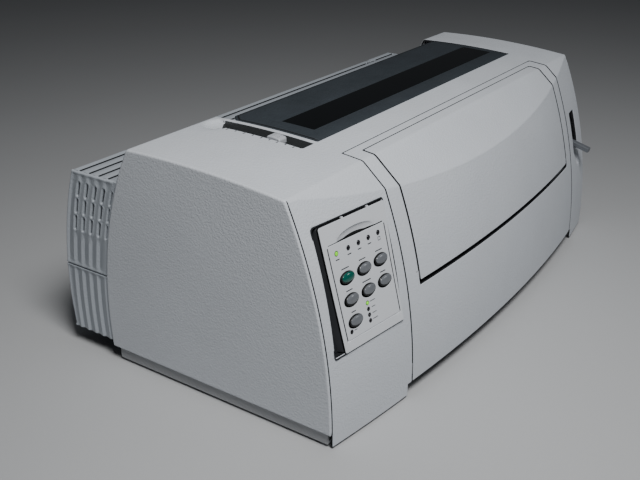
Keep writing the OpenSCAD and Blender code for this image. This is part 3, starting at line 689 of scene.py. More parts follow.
recess = rpoly([rec_pt(-47.4, -56.4), rec_pt(42.8, -56.4), rec_pt(42.8, 55.6), rec_pt(-46.6, 55.6)], [1.6, 1.2, 1.2, 3.2], 5)
tY = lambda y: RIDGE + y - 44
top_outer = rpoly([(3.2, 3), (106.6, 3), (106.6, 15), (112.7, 15), (112.7, tY(66.2)), (527.5, tY(66.2)), (527.5, 15), (533, 15), (533, 3),
                   (588.8, 3), (588.8, 218), (589.98, 221.5), (589.98, 432), (2.02, 432), (2.02, 221.5), (3.2, 218)],
                  [0.6, 1.0, 0.5, 0.8, 0.9, 0.9, 0.8, 0.5, 1.0, 0.6, 0, 0, 0.8, 0.8, 0, 0], 4)
lid_open = rpoly([(119.2, tY(95.9)), (535.4, tY(95.9)), (535.4, 415.6), (119.2, 415.6)], 1.4, 4)
TROUGH = rpoly([(96, 96), (114, 96), (114, 200), (111.6, 200), (103.5, 195.0), (96, 184)], [2.0, 1.2, 0.6, 1.2, 7.0, 4.0], 5)
trough = TROUGH + (0, RIDGE - 44)
# the slot of the paper lever narrows to a wedge below, where the lever swings down
slot_r = rpoly([(542.8, 112), (547.8, 111.2), (548.3, 101.0), (557.8, 99.6), (562.0, 91.0), (563.0, 91.0), (563.1, 111.5), (563.8, 113.5), (563.8, 160.2), (542.8, 160.2)],
               [1.0, 0.6, 0.8, 0.8, 0.3, 0.3, 0.5, 0.5, 2.0, 2.0], 4)


def er_top(x, t):
    side = ((x < 20) | (x > 572)) & (t > 219.5)
    r = np.where((np.abs(x - 527.6) < 2.2) & (t < tY(64)), 0.2, 1.0)
    r = np.where((x > 110.0) & (x < 112.8) & (t > 16) & (t < tY(64)), 2.4, r)
    return np.where(side, 0.0, r)


def disp_top(x, t, d):
    # scoop below the slot of the paper lever, and the pale scooped end of the lever trough
    z = t
    w = np.clip((z - 86) / 26.0, 0, 1)
    xl, xr = 563.5 - 20.5 * w ** 0.8, 564.6
    k = np.clip((x - xl) / np.maximum(xr - xl, 0.6), 0, 1) ** 0.75 * np.clip((xr + 1.0 - x) / 1.6, 0, 1)
    s = np.where((z < 112.5) & (z > 86) & (x > 536), 8.0 * w * k, 0)
    rx, ry = (x - 102) / 17.0, (t - tY(197)) / 15.0
    q = np.clip(1 - (rx * rx + ry * ry), 0, 1)
    return s + np.where((x > 84) & (t > tY(180)) & (x + (t - tY(184)) > 95), 4.6 * q ** 0.8 * np.clip((114.6 - x) / 0.8, 0, 1) * np.clip((t - tY(181)) / 9.0, 0, 1), 0)


TOP_FEATS = [np.array([(563.5 - 20.5 * w ** 0.8, 86 + 26 * w) for w in np.linspace(0.02, 0.96, 18)]),
             np.array([(564.4, z) for z in np.arange(87.5, 111.5, 1.5)]), np.array([(565.5, z) for z in np.arange(87.5, 111.5, 1.5)]),
             np.array([(549.0 + 0.01 * z, z) for z in np.arange(100.0, 111.5, 1.5)]), np.array([(556.0 + 0.01 * z, z) for z in np.arange(94.0, 111.5, 1.5)])]
for _d in (113.8, 114.6, 115.4):
    TOP_FEATS.append(np.array([(_d, tY(y)) for y in np.arange(188.0, 215.0, 1.6)]))
for _r in (1.0, 0.9, 0.75, 0.55, 0.3):
    _a = np.linspace(0.02, TAU - 0.02, 44)
    _q = np.column_stack([102 + 17 * _r * np.cos(_a), tY(197) + 15.0 * _r * np.sin(_a)])
    TOP_FEATS.append(_q[_q[:, 0] < 113.6])


B = Build()
# the walls of the openings are near-black below a short lip (gap=2): painted shade in the seams
B.add(skin(top_outer, [recess, trough, slot_r, lid_open], S_body, 2.8, 0.34, 6.0, 2.0, BODY_FEATS + TOP_FEATS, BODY_CUTS, er_top, disp_top, gap=2))
# lining of the operator panel's recess, in near-black painted shade for the shade inside the recess
lin_o = ccw(rpoly([(-48.6, -57.6), (44.0, -57.6), (44.0, 56.8), (-47.8, 56.8)], [2.6, 2.2, 2.2, 4.0], 5))
lin_i = ccw(rpoly([(-47.45, -56.45), (42.85, -56.45), (42.85, 55.65), (-46.65, 55.65)], [1.6, 1.2, 1.2, 3.2], 5))
B.add(tube(lin_o, lin_i, -12.4, -1.6, 0.2), 3, PAN)
# trough: walls, floor and slot
zt = lambda y: float(z_top(np.array(y)))
# the wall keeps clear of the lever's knob below the scooped corner
tr_c = ccw(densify(rpoly([(96, 96), (114, 96), (114, 200), (111.6, 200), (102.5, 199.0), (96, 192.0)], [2.0, 1.2, 0.6, 1.2, 3.0, 3.0], 5), 8.0))
tr_i = inset(tr_c, 0.14)
tr_o = inset(tr_c, -1.6)


def T_wall(V):
    # the wall's upper edge follows the top, and dips behind the scoop at the rear
    V = V.copy()
    rx, ry = (V[:, 0] - 102) / 17.0, (V[:, 1] - 197) / 15.0
    dip = 4.6 * np.clip(1 - (rx * rx + ry * ry), 0, 1) ** 0.8 * (V[:, 0] < 114.0) * np.clip((V[:, 1] - 181) / 9.0, 0, 1)
    f = (V[:, 2] - 212.2) / 11.4
    V[:, 2] = 212.2 + f * (z_top(V[:, 1]) - 0.5 - dip - 212.2)
    return V


B.add(tube(tr_o, tr_i, 212.2, 223.6, 0.15), 4, T_wall)
fl_o = ccw(densify(rect(94.6, 115.4, 94.6, 201.4, 1.0, 3), 4.0))
# floor: plate with a long slot, as a ring between two outlines of equal count
k = 96
tt = np.arange(k) * TAU / k


def super_ring(cx, cy, a, b, p=8.0):
    c, s = np.cos(tt), np.sin(tt)
    q = (np.abs(c) ** p + np.abs(s) ** p) ** (-1.0 / p)
    return np.stack([cx + a * c * q, cy + b * s * q], 1)


B.add(tube(super_ring(105, 147, 10.2, 52.4), super_ring(105, 148, 4.7, 44.0), 212.1, 214.0, 0.3), 4)
# seats and hinge ears beside the lid, ribs under the top
for x0 in (116.1, 536.2):
    B.add(prism(rpoly([(176, 212), (206, 212), (206, 227.0), (176, 227.6)], 3.0, 4), x0, x0 + 3.5, 0.4), 1, AX)
for x0 in (120.0, 529.2):
    B.add(bxr(x0, x0 + 5.8, 99, 109.6, 218.6, 222.1, 0.5), 1)
for x0 in (3.3, 582.0):
    B.add(bxr(x0, x0 + 6.6, 60, 200, 216.5, 219.5, 0.5), 1)
for u in (-51.5, 46.6):
    for v in (-46, 46):
        B.add(rod(-9.98, -3.4, 3.1, (u, v), 0.3, 20), 1, PAN)
top_case = make("top_case", B, ["case", "case_inner", "seam", "channel", "trough"], "base", ["top_case"], 40)


# scale marks beside the trough: short raised ticks
B = Build()
for i, y in enumerate((104, 113, 122, 131, 140, 150, 160, 170, 180)):
    L = 3.2 if i % 2 == 0 else 2.5
    z = zt(y)
    B.add(prism(rect(95.2 - L, 95.2, y - 0.7, y + 0.7, 0.2, 2), z - 0.10, z + 0.07, 0.05, 1), 0)
ticks = make("trough_scale", B, ["ink"], "base", (), 40, wn=False)


# ================================================================ side panels
def side_outline():
    z = np.concatenate([np.linspace(15.0, 219.4, 60)])
    fr = np.column_stack([y_front(np.zeros(len(z)), z), z])
    y = np.linspace(45.5, 215.0, 40)
    tp = np.column_stack([y, z_top(y)])
    zr = np.linspace(226.6, 15.0, 60)
    rr = np.column_stack([y_rear(zr), zr])
    return np.concatenate([fr, tp, rr])


SO = side_outline()
SO[0] += (0.6, 0)
cutk = rpoly(SO, 0, 1)


def side_er(y, z):
    return np.where(z > 214, 1.0, np.where(y > 150, 0.8, 0.72))


def make_side(name, xs, sgn, holes, nodes, extra=None, step=14.0):
    def S(u, v):
        n = len(u)
        return np.column_stack([np.full(n, xs), u, v]), np.column_stack([np.full(n, float(sgn)), np.zeros(n), np.zeros(n)])
    Bs = Build()
    Bs.add(skin(cutk, holes, S, 2.0, 2.0, step, 2.2, er=side_er, hstep=0.9))
    if extra:
        extra(Bs)
    return make(name, Bs, ["case", "case_inner"], "base", nodes, 40)


def left_extra(Bs):
    # clips and ribs on the inside
    for y in (60, 130, 200):
        Bs.add(bxr(2.0, 3.0, y, y + 16, 40, 200, 0.3), 1)


left_panel = make_side("left_side_panel", 0.0, -1, [], ["left_side_panel"], left_extra)


def right_extra(Bs):
    for y in (50, 196):
        Bs.add(bxr(589.0, 590.0, y, y + 12, 70, 190, 0.3), 1)
    # return beside the hood
    zz = np.linspace(16, 187, 50)
    o = np.concatenate([np.column_stack([y_rear(zz, 2.7), zz]), np.column_stack([y_rear(zz, 0.2), zz])[::-1]])
    o[:, 0] -= 2.9
    Bs.add(prism(o, 576.4, 590.0, 0.25, 2), 0, AX)
    # bezel of the switch with its pivots
    po = rpoly([(208.5, 44.5), (233.5, 44.5), (233.5, 61.5), (208.5, 61.5)], 2.0, 5)
    pi_ = rpoly([(210, 46), (232, 46), (232, 60), (210, 60)], 1.0, 5)
    Bs.add(tube(po, pi_, 580.0, 590.2, 0.3), 1, AX)
    for z0 in (45.6, 57.7):
        Bs.add(rod(z0, z0 + 2.7, 1.48, (586.5, 221), 0.2, 16), 1)


knob_hole = circ(150, 160, 20.0, 64)
sw_hole = rpoly([(210, 46), (232, 46), (232, 60), (210, 60)], 1.0, 5)
right_panel = make_side("right_side_panel", 592.0, 1, [knob_hole, sw_hole], ["right_side_panel"], right_extra)


# ================================================================ front cover and sheet door
def door_relief(x, t, d):
    return np.zeros(len(x))


cover_outer = rpoly([(114.1, 15.3), (525.7, 15.3), (525.7, tY(65.0)), (114.1, tY(65.0))], [0.9, 0.9, 1.6, 1.6], 5)
door_hole = rpoly([(132.4, 105.6), (506.1, 105.6), (506.1, tY(57.3)), (132.4, tY(57.3))], [0.8, 0.8, 1.5, 1.5], 5)
B = Build()


def er_cover(x, t):
    r = np.where(x > 521.5, 3.4, np.where(x < 116, 0.4, 1.0))
    hole = (t > 107.5) & (t < tY(56))
    r = np.where((x > 504) & (x < 508) & hole, 0.2, r)
    return np.where((x > 129) & (x < 133) & hole, 2.6, r)


# the walls of the cover's edges are near-black below a short lip (gap=2): painted shade in the seams
B.add(skin(cover_outer, [door_hole], S_body, 2.8, 0.34, 6.0, 2.0, BODY_FEATS, BODY_CUTS, er_cover, gap=2))


def inner_curve(x, z, s=2.8):
    """y and z of the skin's inner side at height z"""
    p, n = S_body(np.array([float(x)]), np.array([float(z)]))
    q = p[0] - n[0] * s
    return q


def rib_x(x0, x1, t0, t1, depth, s=2.6, step=6):
    """rib along the profile at constant x, on the inner side of the skin"""
    ts = np.arange(t0, t1 + 0.1, step)
    xm = (x0 + x1) / 2
    p, n = S_body(np.full(len(ts), xm), ts)
    a = p - n * s
    b = p - n * (s + depth)
    o = np.concatenate([a[:, 1:], b[::-1, 1:]])
    return prism(o, x0, x1, 0.3, 2)


def rib_z(z0, z1, x0, x1, depth, s=2.6):
    """rib across, between two heights"""
    xs = np.linspace(x0, x1, 40)
    p, n = S_body(xs, np.full(len(xs), (z0 + z1) / 2))
    a = p - n * s
    b = p - n * (s + depth)
    o = np.concatenate([a[:, :2], b[::-1, :2]])
    return prism(o, z0, z1, 0.3, 2)


for x0 in (114.0, 523.6):
    B.add(rib_x(x0, x0 + 2.2, 22, tY(60), 8.0), 1, AX)
for x0 in (129.4, 506.0):
    B.add(rib_x(x0, x0 + 2.2, 108, 216, 6.0), 1, AX)
for z0 in (40, 72, 94):
    B.add(rib_z(z0, z0 + 2, 116, 523.8, 5.0), 1)
# flange behind the top edge of the door's opening
B.add(bxr(132, 506, 59.2, 63.8, 213.5, 219.0, 0.6), 1)
# lugs with the hinge pins at the foot
for x0, p0, p1 in ((113.8, 113.9, 126.3), (521.6, 513.7, 526.0)):
    yf = float(inner_curve(x0 + 2.2, 28, 1.0)[1])
    B.add(prism(rpoly([(yf, 22.2), (3.8, 22.2), (3.8, 33.8), (yf, 33.8)], [0.4, 3.5, 3.5, 0.4], 5), x0, x0 + 4.4, 0.4), 1, AX)
    B.add(rod(p0, p1, 2.95, (-2, 28), 0.4, 32), 1, AX)
# ears of the door's hinge
for x0 in (128.6, 506.1):
    yf = float(inner_curve(x0 + 1.8, 114, 1.0)[1])
    ob = np.concatenate([rpoly([(yf, 108.2), (5.8, 108.2), (5.8, 119.8), (yf, 119.8)], [0.4, 4.5, 4.5, 0.4], 6)])
    B.add(prism(ob, x0, x0 + 3.3, 0.4), 1, AX)
front_cover = make("front_cover", B, ["case", "case_inner", "seam"], "front_cover", ["front_cover"], 40)

door_outer = rpoly([(134.35, 110.1), (504.2, 110.1), (504.2, tY(56.0)), (134.35, tY(56.0))], [0.9, 0.9, 1.4, 1.4], 5)
B = Build()
# the walls of the door's edges are near-black below a short lip (gap=2): painted shade in the seams
B.add(skin(door_outer, [], S_body, 2.8, 0.34, 6.0, 2.0, BODY_FEATS, BODY_CUTS, lambda x, t: np.where(x > 500, 3.4, np.where(x < 137, 0.4, 1.0)), gap=2))
for x0 in (134.6, 502.0):
    B.add(rib_x(x0, x0 + 2.0, 112, 214, 4.2), 1, AX)
for z0 in (132, 160):
    B.add(rib_z(z0, z0 + 2, 137, 502, 3.0), 1)
for x0, p0, p1 in ((134.4, 128.7, 136.0), (499.9, 502.0, 509.3)):
    yf = float(inner_curve(x0 + 2.2, 114, 1.2)[1])
    B.add(prism(rpoly([(yf, 110.4), (1.0, 110.1), (4.6, 114), (1.0, 117.8), (yf, 118)], [0.4, 3.0, 2.2, 3.0, 0.4], 5), x0, x0 + 4.3, 0.4), 1, AX)
    B.add(rod(p0, p1, 2.45, (1, 114), 0.3, 28), 1, AX)
# finger edge along the inside of the top
B.add(bxr(250, 390, 50.4, 54.6, 217.4, 219.0, 0.5), 1)
sheet_door = make("sheet_door", B, ["case", "case_inner", "seam"], "sheet_door", ["sheet_door"], 40)

# ================================================================ access lid and window
lid_outer = rpoly([(121.0, tY(97.6)), (534.2, tY(97.6)), (534.2, tY(202.9)), (132.3, tY(202.9)), (121.0, tY(191.6))], [2.2, 2.2, 1.6, 1.6, 1.6], 5)
win_hole = rpoly([(144, tY(117)), (526, tY(117)), (526, tY(155)), (144, tY(155))], 1.2, 5)
T_lid = lambda x, t, d: 0.0


def lid_disp(x, t, d):
    # bevelled border outside, a shallow step round the window
    o = np.minimum.reduce([x - 120.6, 534.4 - x, t - tY(97.05), tY(202.95) - t, ((x - 120.65) - (t - tY(191.2))) * 0.7071])
    bev = np.clip(1 - o / 5.2, 0, 1) * 0.9
    back = np.minimum(x - 121.0, tY(202.9) - t)
    back = np.minimum(back, ((x - 121.0) - (t - tY(191.6))) * 0.7071)
    bev = np.maximum(bev, 1.3 * np.clip(1 - np.abs(back - 3.0) / 0.9, 0, 1) * (t > tY(99)) * (x < 533))
    w = np.maximum.reduce([144 - x, x - 526, tY(117) - t, t - tY(155)])
    step = np.clip((4.2 - w) / 0.9, 0, 1) * 0.45
    return bev + step


# the groove near the lid's rear and left edges is painted near-black (seam material): painted shade in the groove
def lid_groove_shade_paint(x, t):
    back = np.minimum.reduce([x - 121.0, tY(202.9) - t, ((x - 121.0) - (t - tY(191.6))) * 0.7071])
    return np.where((np.abs(back - 3.0) < 0.75) & (t > tY(99)) & (x < 533), 2, 0)


lid_f = []
for o in (2.1, 2.6, 3.4, 3.9):
    lid_f.append(np.array([(533.0, tY(202.9) - o), (132.3 + o * 0.4, tY(202.9) - o)]))
    lid_f.append(np.array([(121.0 + o, tY(191.6) - o * 0.4), (121.0 + o, tY(99.5))]))
    lid_f.append(np.array([(132.3 + o * 0.4, tY(202.9) - o), (121.0 + o, tY(191.6) - o * 0.4)]))
for o in (5.2,):
    lid_f.append(np.array([(120.65 + o, tY(97.1) + o), (534.35 - o, tY(97.1) + o)]))
    lid_f.append(np.array([(534.35 - o, tY(97.1) + o), (534.35 - o, tY(202.9) - o)]))
    lid_f.append(np.array([(534.35 - o, tY(202.9) - o), (132.3 + o * 0.4, tY(202.9) - o)]))
    lid_f.append(np.array([(120.65 + o, tY(191.2) - o * 0.4), (120.65 + o, tY(97.1) + o)]))
    lid_f.append(np.array([(132.3 + o * 0.4, tY(202.9) - o), (120.65 + o, tY(191.2) - o * 0.4)]))
for o in (4.2, 3.3):
    r = ccw(rpoly([(144 - o, tY(117) - o), (526 + o, tY(117) - o), (526 + o, tY(155) + o), (144 - o, tY(155) + o)], 1.2 + o, 5))
    lid_f.append(np.concatenate([r, r[:1]]))


def dense_line(f, s):
    out = []
    for a, b in zip(f[:-1], f[1:]):
        m = max(1, int(math.ceil(np.linalg.norm(b - a) / s)))
        out += [a + (b - a) * j / m for j in range(m)]
    out.append(f[-1])
    return np.array(out)


lid_f = [dense_line(f, 3.0) for f in lid_f]
B = Build()
B.add(skin(lid_outer, [win_hole], S_body, 2.6, 0.4, 7.0, 2.2, lid_f, (), None, lid_disp, paint=lid_groove_shade_paint))
zi = lambda y, s: zt(y) - s
# rim under the window, hinge cheeks with pins
B.add(tube(super_ring(335, 136, 193.8, 21.8, 30), super_ring(335, 136, 191.2, 19.3, 30), 219.8, 223.9, 0.3), 1)
for x0, p0, p1 in ((120.7, 116.6, 123.5), (529.9, 531.8, 538.5)):
    B.add(prism(rpoly([(181, 217.7), (202.4, 217.7), (202.4, 226.0), (181, 226.4)], [3.5, 3.5, 0.8, 0.8], 5), x0, x0 + 4.3, 0.4), 1, AX)
    B.add(rod(p0, p1, 2.45, (199, 222), 0.3, 28), 1, AX)
for x0 in (180, 260, 340, 420, 500):
    B.add(bxr(x0, x0 + 1.8, 161, 196, 222.0, 225.9, 0.3), 1)
access_lid = make("access_lid", B, ["lid", "lid", "seam"], "access_lid", ["access_lid"], 40)


def S_win(x, t):
    p, n = S_body(x, t)
    return p - n * 0.55, n


B = Build()
B.add(skin(rpoly([(144.25, tY(117.2)), (525.75, tY(117.2)), (525.75, tY(154.8)), (144.25, tY(154.8))], 1.1, 5), [], S_win, 2.0, 0.25, 12.0, 3.0))
lid_window = make("lid_window", B, ["window"], "access_lid", ["lid_window"], 40)


# ================================================================ rear hood and rear cover
def y_hood(z, s=0.0):
    return -42 + np.sqrt((359.0 - s) ** 2 - (z - 65) ** 2)


def arc_c(y, z):
    return np.sqrt((y + 114) ** 2 + (z - 50) ** 2) - 375.5


def saw(c, a=1.7):
    f = ((c - 2.6 + 1.7) / 10.4) % 1.0
    up = np.clip(f / 0.30, 0, 1)
    dn = np.clip((f - 0.30) / 0.70, 0, 1)
    up = up * up * (3 - 2 * up)
    return a * (1 - up) * (f < 0.30) + a * dn * (f >= 0.30)


def side_disp(z0, z1):
    def f(y, z, d):
        edge = np.clip((d - 1.0) / 3.5, 0, 1)
        return saw(arc_c(y, z)) * edge
    return f


def arc_line(c, z0, z1, n=24):
    z = np.linspace(z0, z1, n)
    return np.column_stack([y_rear(z, c), z])


HOOD_Z0, HOOD_Z1 = 92.0, 193.0
hz = np.linspace(HOOD_Z0, HOOD_Z1, 34)
hood_out = np.concatenate([np.column_stack([y_hood(hz), hz]), np.column_stack([y_rear(hz, 0.6), hz])[::-1]])
vent_holes = []
for kk in range(5):
    for z0 in (167.6, 149.6, 131.4):
        c = 2.6 + 10.4 * kk
        z = np.linspace(z0, z0 + 15, 7)
        o = np.concatenate([np.column_stack([y_rear(z, c + 1.0), z]), np.column_stack([y_rear(z, c - 1.0), z])[::-1]])
        if kk == 0:
            o[:, 0] = np.maximum(o[:, 0], y_rear(o[:, 1], 1.7))
        vent_holes.append(rpoly([o[0], o[3], o[6], o[7], o[10], o[13]], [1.0, 0, 1.0, 1.0, 0, 1.0], 3))
flutes = []
for kk in range(-1, 7):
    for d in (-1.7, -0.2, 1.42, 4.0, 6.6):
        flutes.append((2.6 + 10.4 * kk + d))


def hood_er(y, z):
    return np.where(z < HOOD_Z0 + 2.4, 0.35, np.where(arc_c(y, z) < 3, 0.3, 1.0))


def hood_side(Bs, xs, sgn, out, holes, z0, z1):
    def S(u, v):
        n = len(u)
        return np.column_stack([np.full(n, xs), u, v]), np.column_stack([np.full(n, float(sgn)), np.zeros(n), np.zeros(n)])
    fe = [arc_line(c, z0, z1, 26) for c in flutes]
    Bs.add(skin(out, holes, S, 2.5, 2.0, 6.0, 2.4, fe, (), hood_er, side_disp(z0, z1), hstep=1.1))


YT = float(y_hood(np.array(193.0)))


def S_hood(x, s):
    def raw2(x, s):
        z = 193.0 - np.maximum(s - YT, 0)
        y = np.where(s <= YT, s, y_hood(z))
        return np.stack([x, y, z], 1)

    def f(x, s):
        p = raw2(x, s)
        a = 1.9
        m = np.abs(s - YT) < a
        if m.any():
            q = ((s[m] - YT + a) / (2 * a))[:, None]
            A, Bm, Cc = raw2(x[m], np.full(m.sum(), YT - a)), raw2(x[m], np.full(m.sum(), YT)), raw2(x[m], np.full(m.sum(), YT + a))
            p[m] = (1 - q) ** 2 * A + 2 * q * (1 - q) * Bm + q * q * Cc
        return p
    h = 0.05
    p = f(x, s)
    n = np.cross(f(x + h, s) - f(x - h, s), f(x, s + h) - f(x, s - h))
    n /= np.maximum(np.linalg.norm(n, axis=1), 1e-12)[:, None]
    return p, n


GROOVES = (247.5, 260.0, 272.5, 285.0)


def top_grooves(x, s, d):
    g = np.zeros(len(x))
    for y0 in GROOVES:
        q = s - y0
        # a small step: sharp on the rear side, long ramp in front
        g = np.maximum(g, np.where((q > -7.5) & (q <= 0), 1.1 * np.clip((q + 7.5) / 7.5, 0, 1) ** 1.3, 0))
        g = np.maximum(g, np.where((q > 0) & (q < 0.6), 1.1 * (1 - q / 0.6), 0))
    return g * np.clip((d - 0.0) / 1.0, 0, 1) * (s < YT - 1)


hx = np.arange(0, 580, 8.0)
hood_feats = [np.column_stack([hx, np.full(len(hx), y0 + d)]) for y0 in GROOVES for d in (-7.5, -5.0, -2.4, -0.5, 0.0, 0.6)]
hood_feats += [np.column_stack([hx, np.full(len(hx), YT + d)]) for d in (-1.9, -1.0, 0.0, 1.0, 1.9)]
hood_cuts = [y0 + d for y0 in GROOVES for d in (-7.5, -5.0, -2.4, -0.5, 0.0, 0.6)] + [YT + d for d in (-1.9, -1, 0, 1, 1.9)]
B = Build()
hood_side(B, 1.0, -1, hood_out, vent_holes, HOOD_Z0, HOOD_Z1)
hood_side(B, 576.0, 1, hood_out, vent_holes, HOOD_Z0, HOOD_Z1)
s_end = YT + (193 - 98.5)
htop = rpoly([(3.02, 234.6), (573.98, 234.6), (573.98, s_end), (3.02, s_end)], 0.0)
notch = rpoly([(513, 286.5), (520, 286.5), (520, YT + 12), (513, YT + 12)], [1.2, 1.2, 0.8, 0.8], 4)
# the floors of the top's grooves are painted near-black (seam material): painted shade in the grooves
B.add(skin(htop, [notch], S_hood, 2.5, 0.5, 9.0, 2.6, hood_feats, hood_cuts, lambda x, s: np.where(s < 240, 1.0, 0.0), top_grooves,
           paint=lambda x, s: np.where(np.minimum.reduce([np.abs(s - y0 - 0.05) for y0 in GROOVES]) < 0.55, 2, 0) * (x > 4.5) * (x < 572.5)))
# hinge barrel along the rear with knuckle grooves, and its pins
prof = [(13.0, 3.0), (13.4, 3.9)]
for xk in np.arange(60, 540, 60):
    prof += [(xk - 0.8, 3.9), (xk - 0.3, 3.4), (xk + 0.3, 3.4), (xk + 0.8, 3.9)]
prof += [(563.6, 3.9), (564.0, 3.0)]
B.add(lathe(prof, 28, (313, 93)), 0, AX)
B.add(rod(4.3, 14.0, 1.95, (313, 93), 0.3, 20), 0, AX)
B.add(rod(563.0, 572.7, 1.95, (313, 93), 0.3, 20), 0, AX)
web = rpoly([(311.2, 95.5), (315.6, 94.8), (315.6, 100.5), (312.8, 100.5)], 0.3, 2)
B.add(prism(web, 13.0, 564.0, 0.2, 2), 0, AX)
for xk in (90, 200, 320, 440):
    B.add(prism(rpoly([(236.5, 189.8), (291.5, 189.8), (291.5, 182), (250, 186.4)], 0.8, 2), xk, xk + 2.0, 0.3), 1, AX)
# grip on the right end of the top: a raised tab beside the notch
B.add(bxr(521.5, 573, 287.0, 292.2, 192.2, 193.35, 0.35), 0)
rear_hood = make("rear_hood", B, ["hood", "case_inner", "seam"], "rear_hood", ["rear_hood"], 38)

RC0, RC1 = 20.2, 90.5
hz = np.linspace(RC0, RC1, 26)
rc_out = np.concatenate([np.column_stack([y_hood(hz), hz]), np.column_stack([y_rear(hz, 0.6), hz])[::-1]])


def rc_disp(y, z, d):
    # the flutes run out of the lower edge
    edge = np.clip((np.minimum(RC1 - z, 50) - 0.5) / 3.0, 0, 1) * np.clip((y_hood(z) - y) / 4.0, 0, 1)
    return saw(arc_c(y, z)) * edge


B = Build()
for xs, sgn in ((1.0, -1), (576.0, 1)):
    def S(u, v, xs=xs, sgn=sgn):
        n = len(u)
        return np.column_stack([np.full(n, xs), u, v]), np.column_stack([np.full(n, float(sgn)), np.zeros(n), np.zeros(n)])
    fe = [arc_line(c, RC0, RC1, 20) for c in flutes]
    B.add(skin(rc_out, [], S, 2.5, 2.0, 6.0, 1.6, fe, (), lambda y, z: np.where(z > RC1 - 2.4, 0.35, np.where(z < RC0 + 2.4, 0.25, np.where(arc_c(y, z) < 3, 0.3, 1.0))), rc_disp))


def S_rc(x, z):
    y = y_hood(z)
    p = np.stack([x, y, z], 1)
    n = np.stack([np.zeros(len(x)), y + 42, z - 65], 1)
    return p, n / np.linalg.norm(n, axis=1)[:, None]


rc_rear = rpoly([(3.02, RC0), (573.98, RC0), (573.98, 86.4), (3.02, 86.4)], 0)


def rc_groove(x, z, d):
    g = np.zeros(len(x))
    for z0 in (38.0, 52.0, 66.0):
        g = np.maximum(g, 0.8 * np.clip(1 - np.abs(z - z0) / 0.9, 0, 1))
    return g * np.clip(np.minimum(x - 12, 565 - x) / 3.0, 0, 1)


rcf = [np.column_stack([hx, np.full(len(hx), z0 + d)]) for z0 in (38.0, 52.0, 66.0) for d in (-0.9, 0, 0.9)]
B.add(skin(rc_rear, [], S_rc, 2.5, 0.5, 10.0, 3.0, rcf, (), lambda x, z: np.where((x < 5) | (x > 571), 0.0, 1.0), rc_groove))
for x0 in (3.45, 568.15):
    yb = 311.0
    B.add(prism(rpoly([(309.4, 62), (314.2, 62), (316.2, 92.0), (313, 96.6), (309.6, 94.5)], [0.6, 0.6, 3.4, 3.4, 3.4], 5), x0, x0 + 4.3, 0.4), 1, AX)
for x0 in (60, 230, 480):
    B.add(bxr(x0, x0 + 12, 253.05, 313.5, 48.1, 50.9, 0.4), 1)
    B.add(rod(256.0, 258.5, 3.2, (x0 + 6, 0), 0.3, 6) if False else bxr(x0 + 3, x0 + 9, 255.5, 261.5, 50.7, 52.2, 0.3), 1)
rear_cover = make("rear_cover", B, ["hood", "case_inner"], "base", ["rear_cover"], 38)


# ================================================================ operator panel, keys and lights
pl = ccw(np.array([(-36, -56), (42.4, -56), (42.4, 54.35), (-41, 54.35)], float))
plate_out = rpoly(pl.tolist(), [1.4, 1.4, 1.4, 2.2], 5)
KEYS = [(-17.9, 5.3), (4.2, 5.8), (26.2, 6.4), (-17.6, -14.1), (4.8, -13.7), (26.8, -13.0), (-17.3, -33.2)]
LEDS = [(-25.5, 28.3), (-10.6, 28.5), (2.5, 28.7), (15.5, 29.0), (28.5, 29.3), (0.0, -24.4), (0.0, -29.8), (0.0, -35.1), (0.0, -40.3), (-24.7, -40.9)]
LIT = (0, 5)


def S_pan(u, v):
    n = len(u)
    return PAN(np.column_stack([u, v, np.zeros(n)])), np.tile(PR[:, 2], (n, 1))


# offset of the black wells from the keys, towards the lower left, where the black is painted shadow of the keys
WELL_SHADOW_SHIFT = (-0.55, -0.50)
holes = [four_arc(kx + WELL_SHADOW_SHIFT[0], ky + WELL_SHADOW_SHIFT[1], 18.5, 11.9, 4.4, 12) for kx, ky in KEYS] + [circ(kx, ky, 2.3 if i < 5 else 2.0, 20) for i, (kx, ky) in enumerate(LEDS)]
holes.append(rpoly([(-35.25, 35.4), (-34.05, 35.4), (-30.6, -47.4), (-31.8, -47.4)][::-1], 0.3, 2))
holes.append(rpoly([(37.45, 35.2), (38.65, 35.2), (40.05, -47), (38.85, -47)][::-1], 0.3, 2))
_u = np.linspace(-33.4, 36.6, 57)
_b = 1.35 * np.clip(1 - ((_u - 1.0) / 13.5) ** 2, 0, 1)
holes.append(np.concatenate([np.column_stack([_u, 36.75 - 0.30 * (_u + 33) / 70]), np.column_stack([_u, 37.35 + 0.15 * (_u + 33) / 70 + _b])[::-1]]))


def pan_disp(u, v, d):
    q = np.clip(1 - ((u - 1.6) / 24.3) ** 2 - ((v - 37.35) / 7.5) ** 2, 0, 1)
    s = np.where(v > 37.2, 2.7 * q ** 0.62, 0)
    bot = np.clip(1 - np.abs(v + 47.2) / 0.45, 0, 1) * ((u > -31) & (u < 40)) * 0.8
    left = np.clip(1 - np.abs(u - (-32.2 - (v - 36.4) * 0.0405 + 0.0)) / 0.45, 0, 1) * ((v < 35) & (v > -47)) * 0.8
    return np.maximum.reduce([s, bot, left])


pf = [np.array([(-30.5 + i * 2.2, -47.2 + d) for i in range(33)]) for d in (-0.45, 0, 0.45)]
for d in (-0.45, 0, 0.45):
    vv = np.linspace(35.5, -46.5, 42)
    pf.append(np.column_stack([-32.2 - (vv - 36.4) * 0.0405 + d, vv]))
for sc in (1.0, 0.93, 0.8, 0.6, 0.35):
    a = np.linspace(0.02, math.pi - 0.02, 40)
    pf.append(np.column_stack([1.6 + 24.3 * sc * np.cos(a), 37.7 + 7.2 * sc * np.sin(a)]))
B = Build()
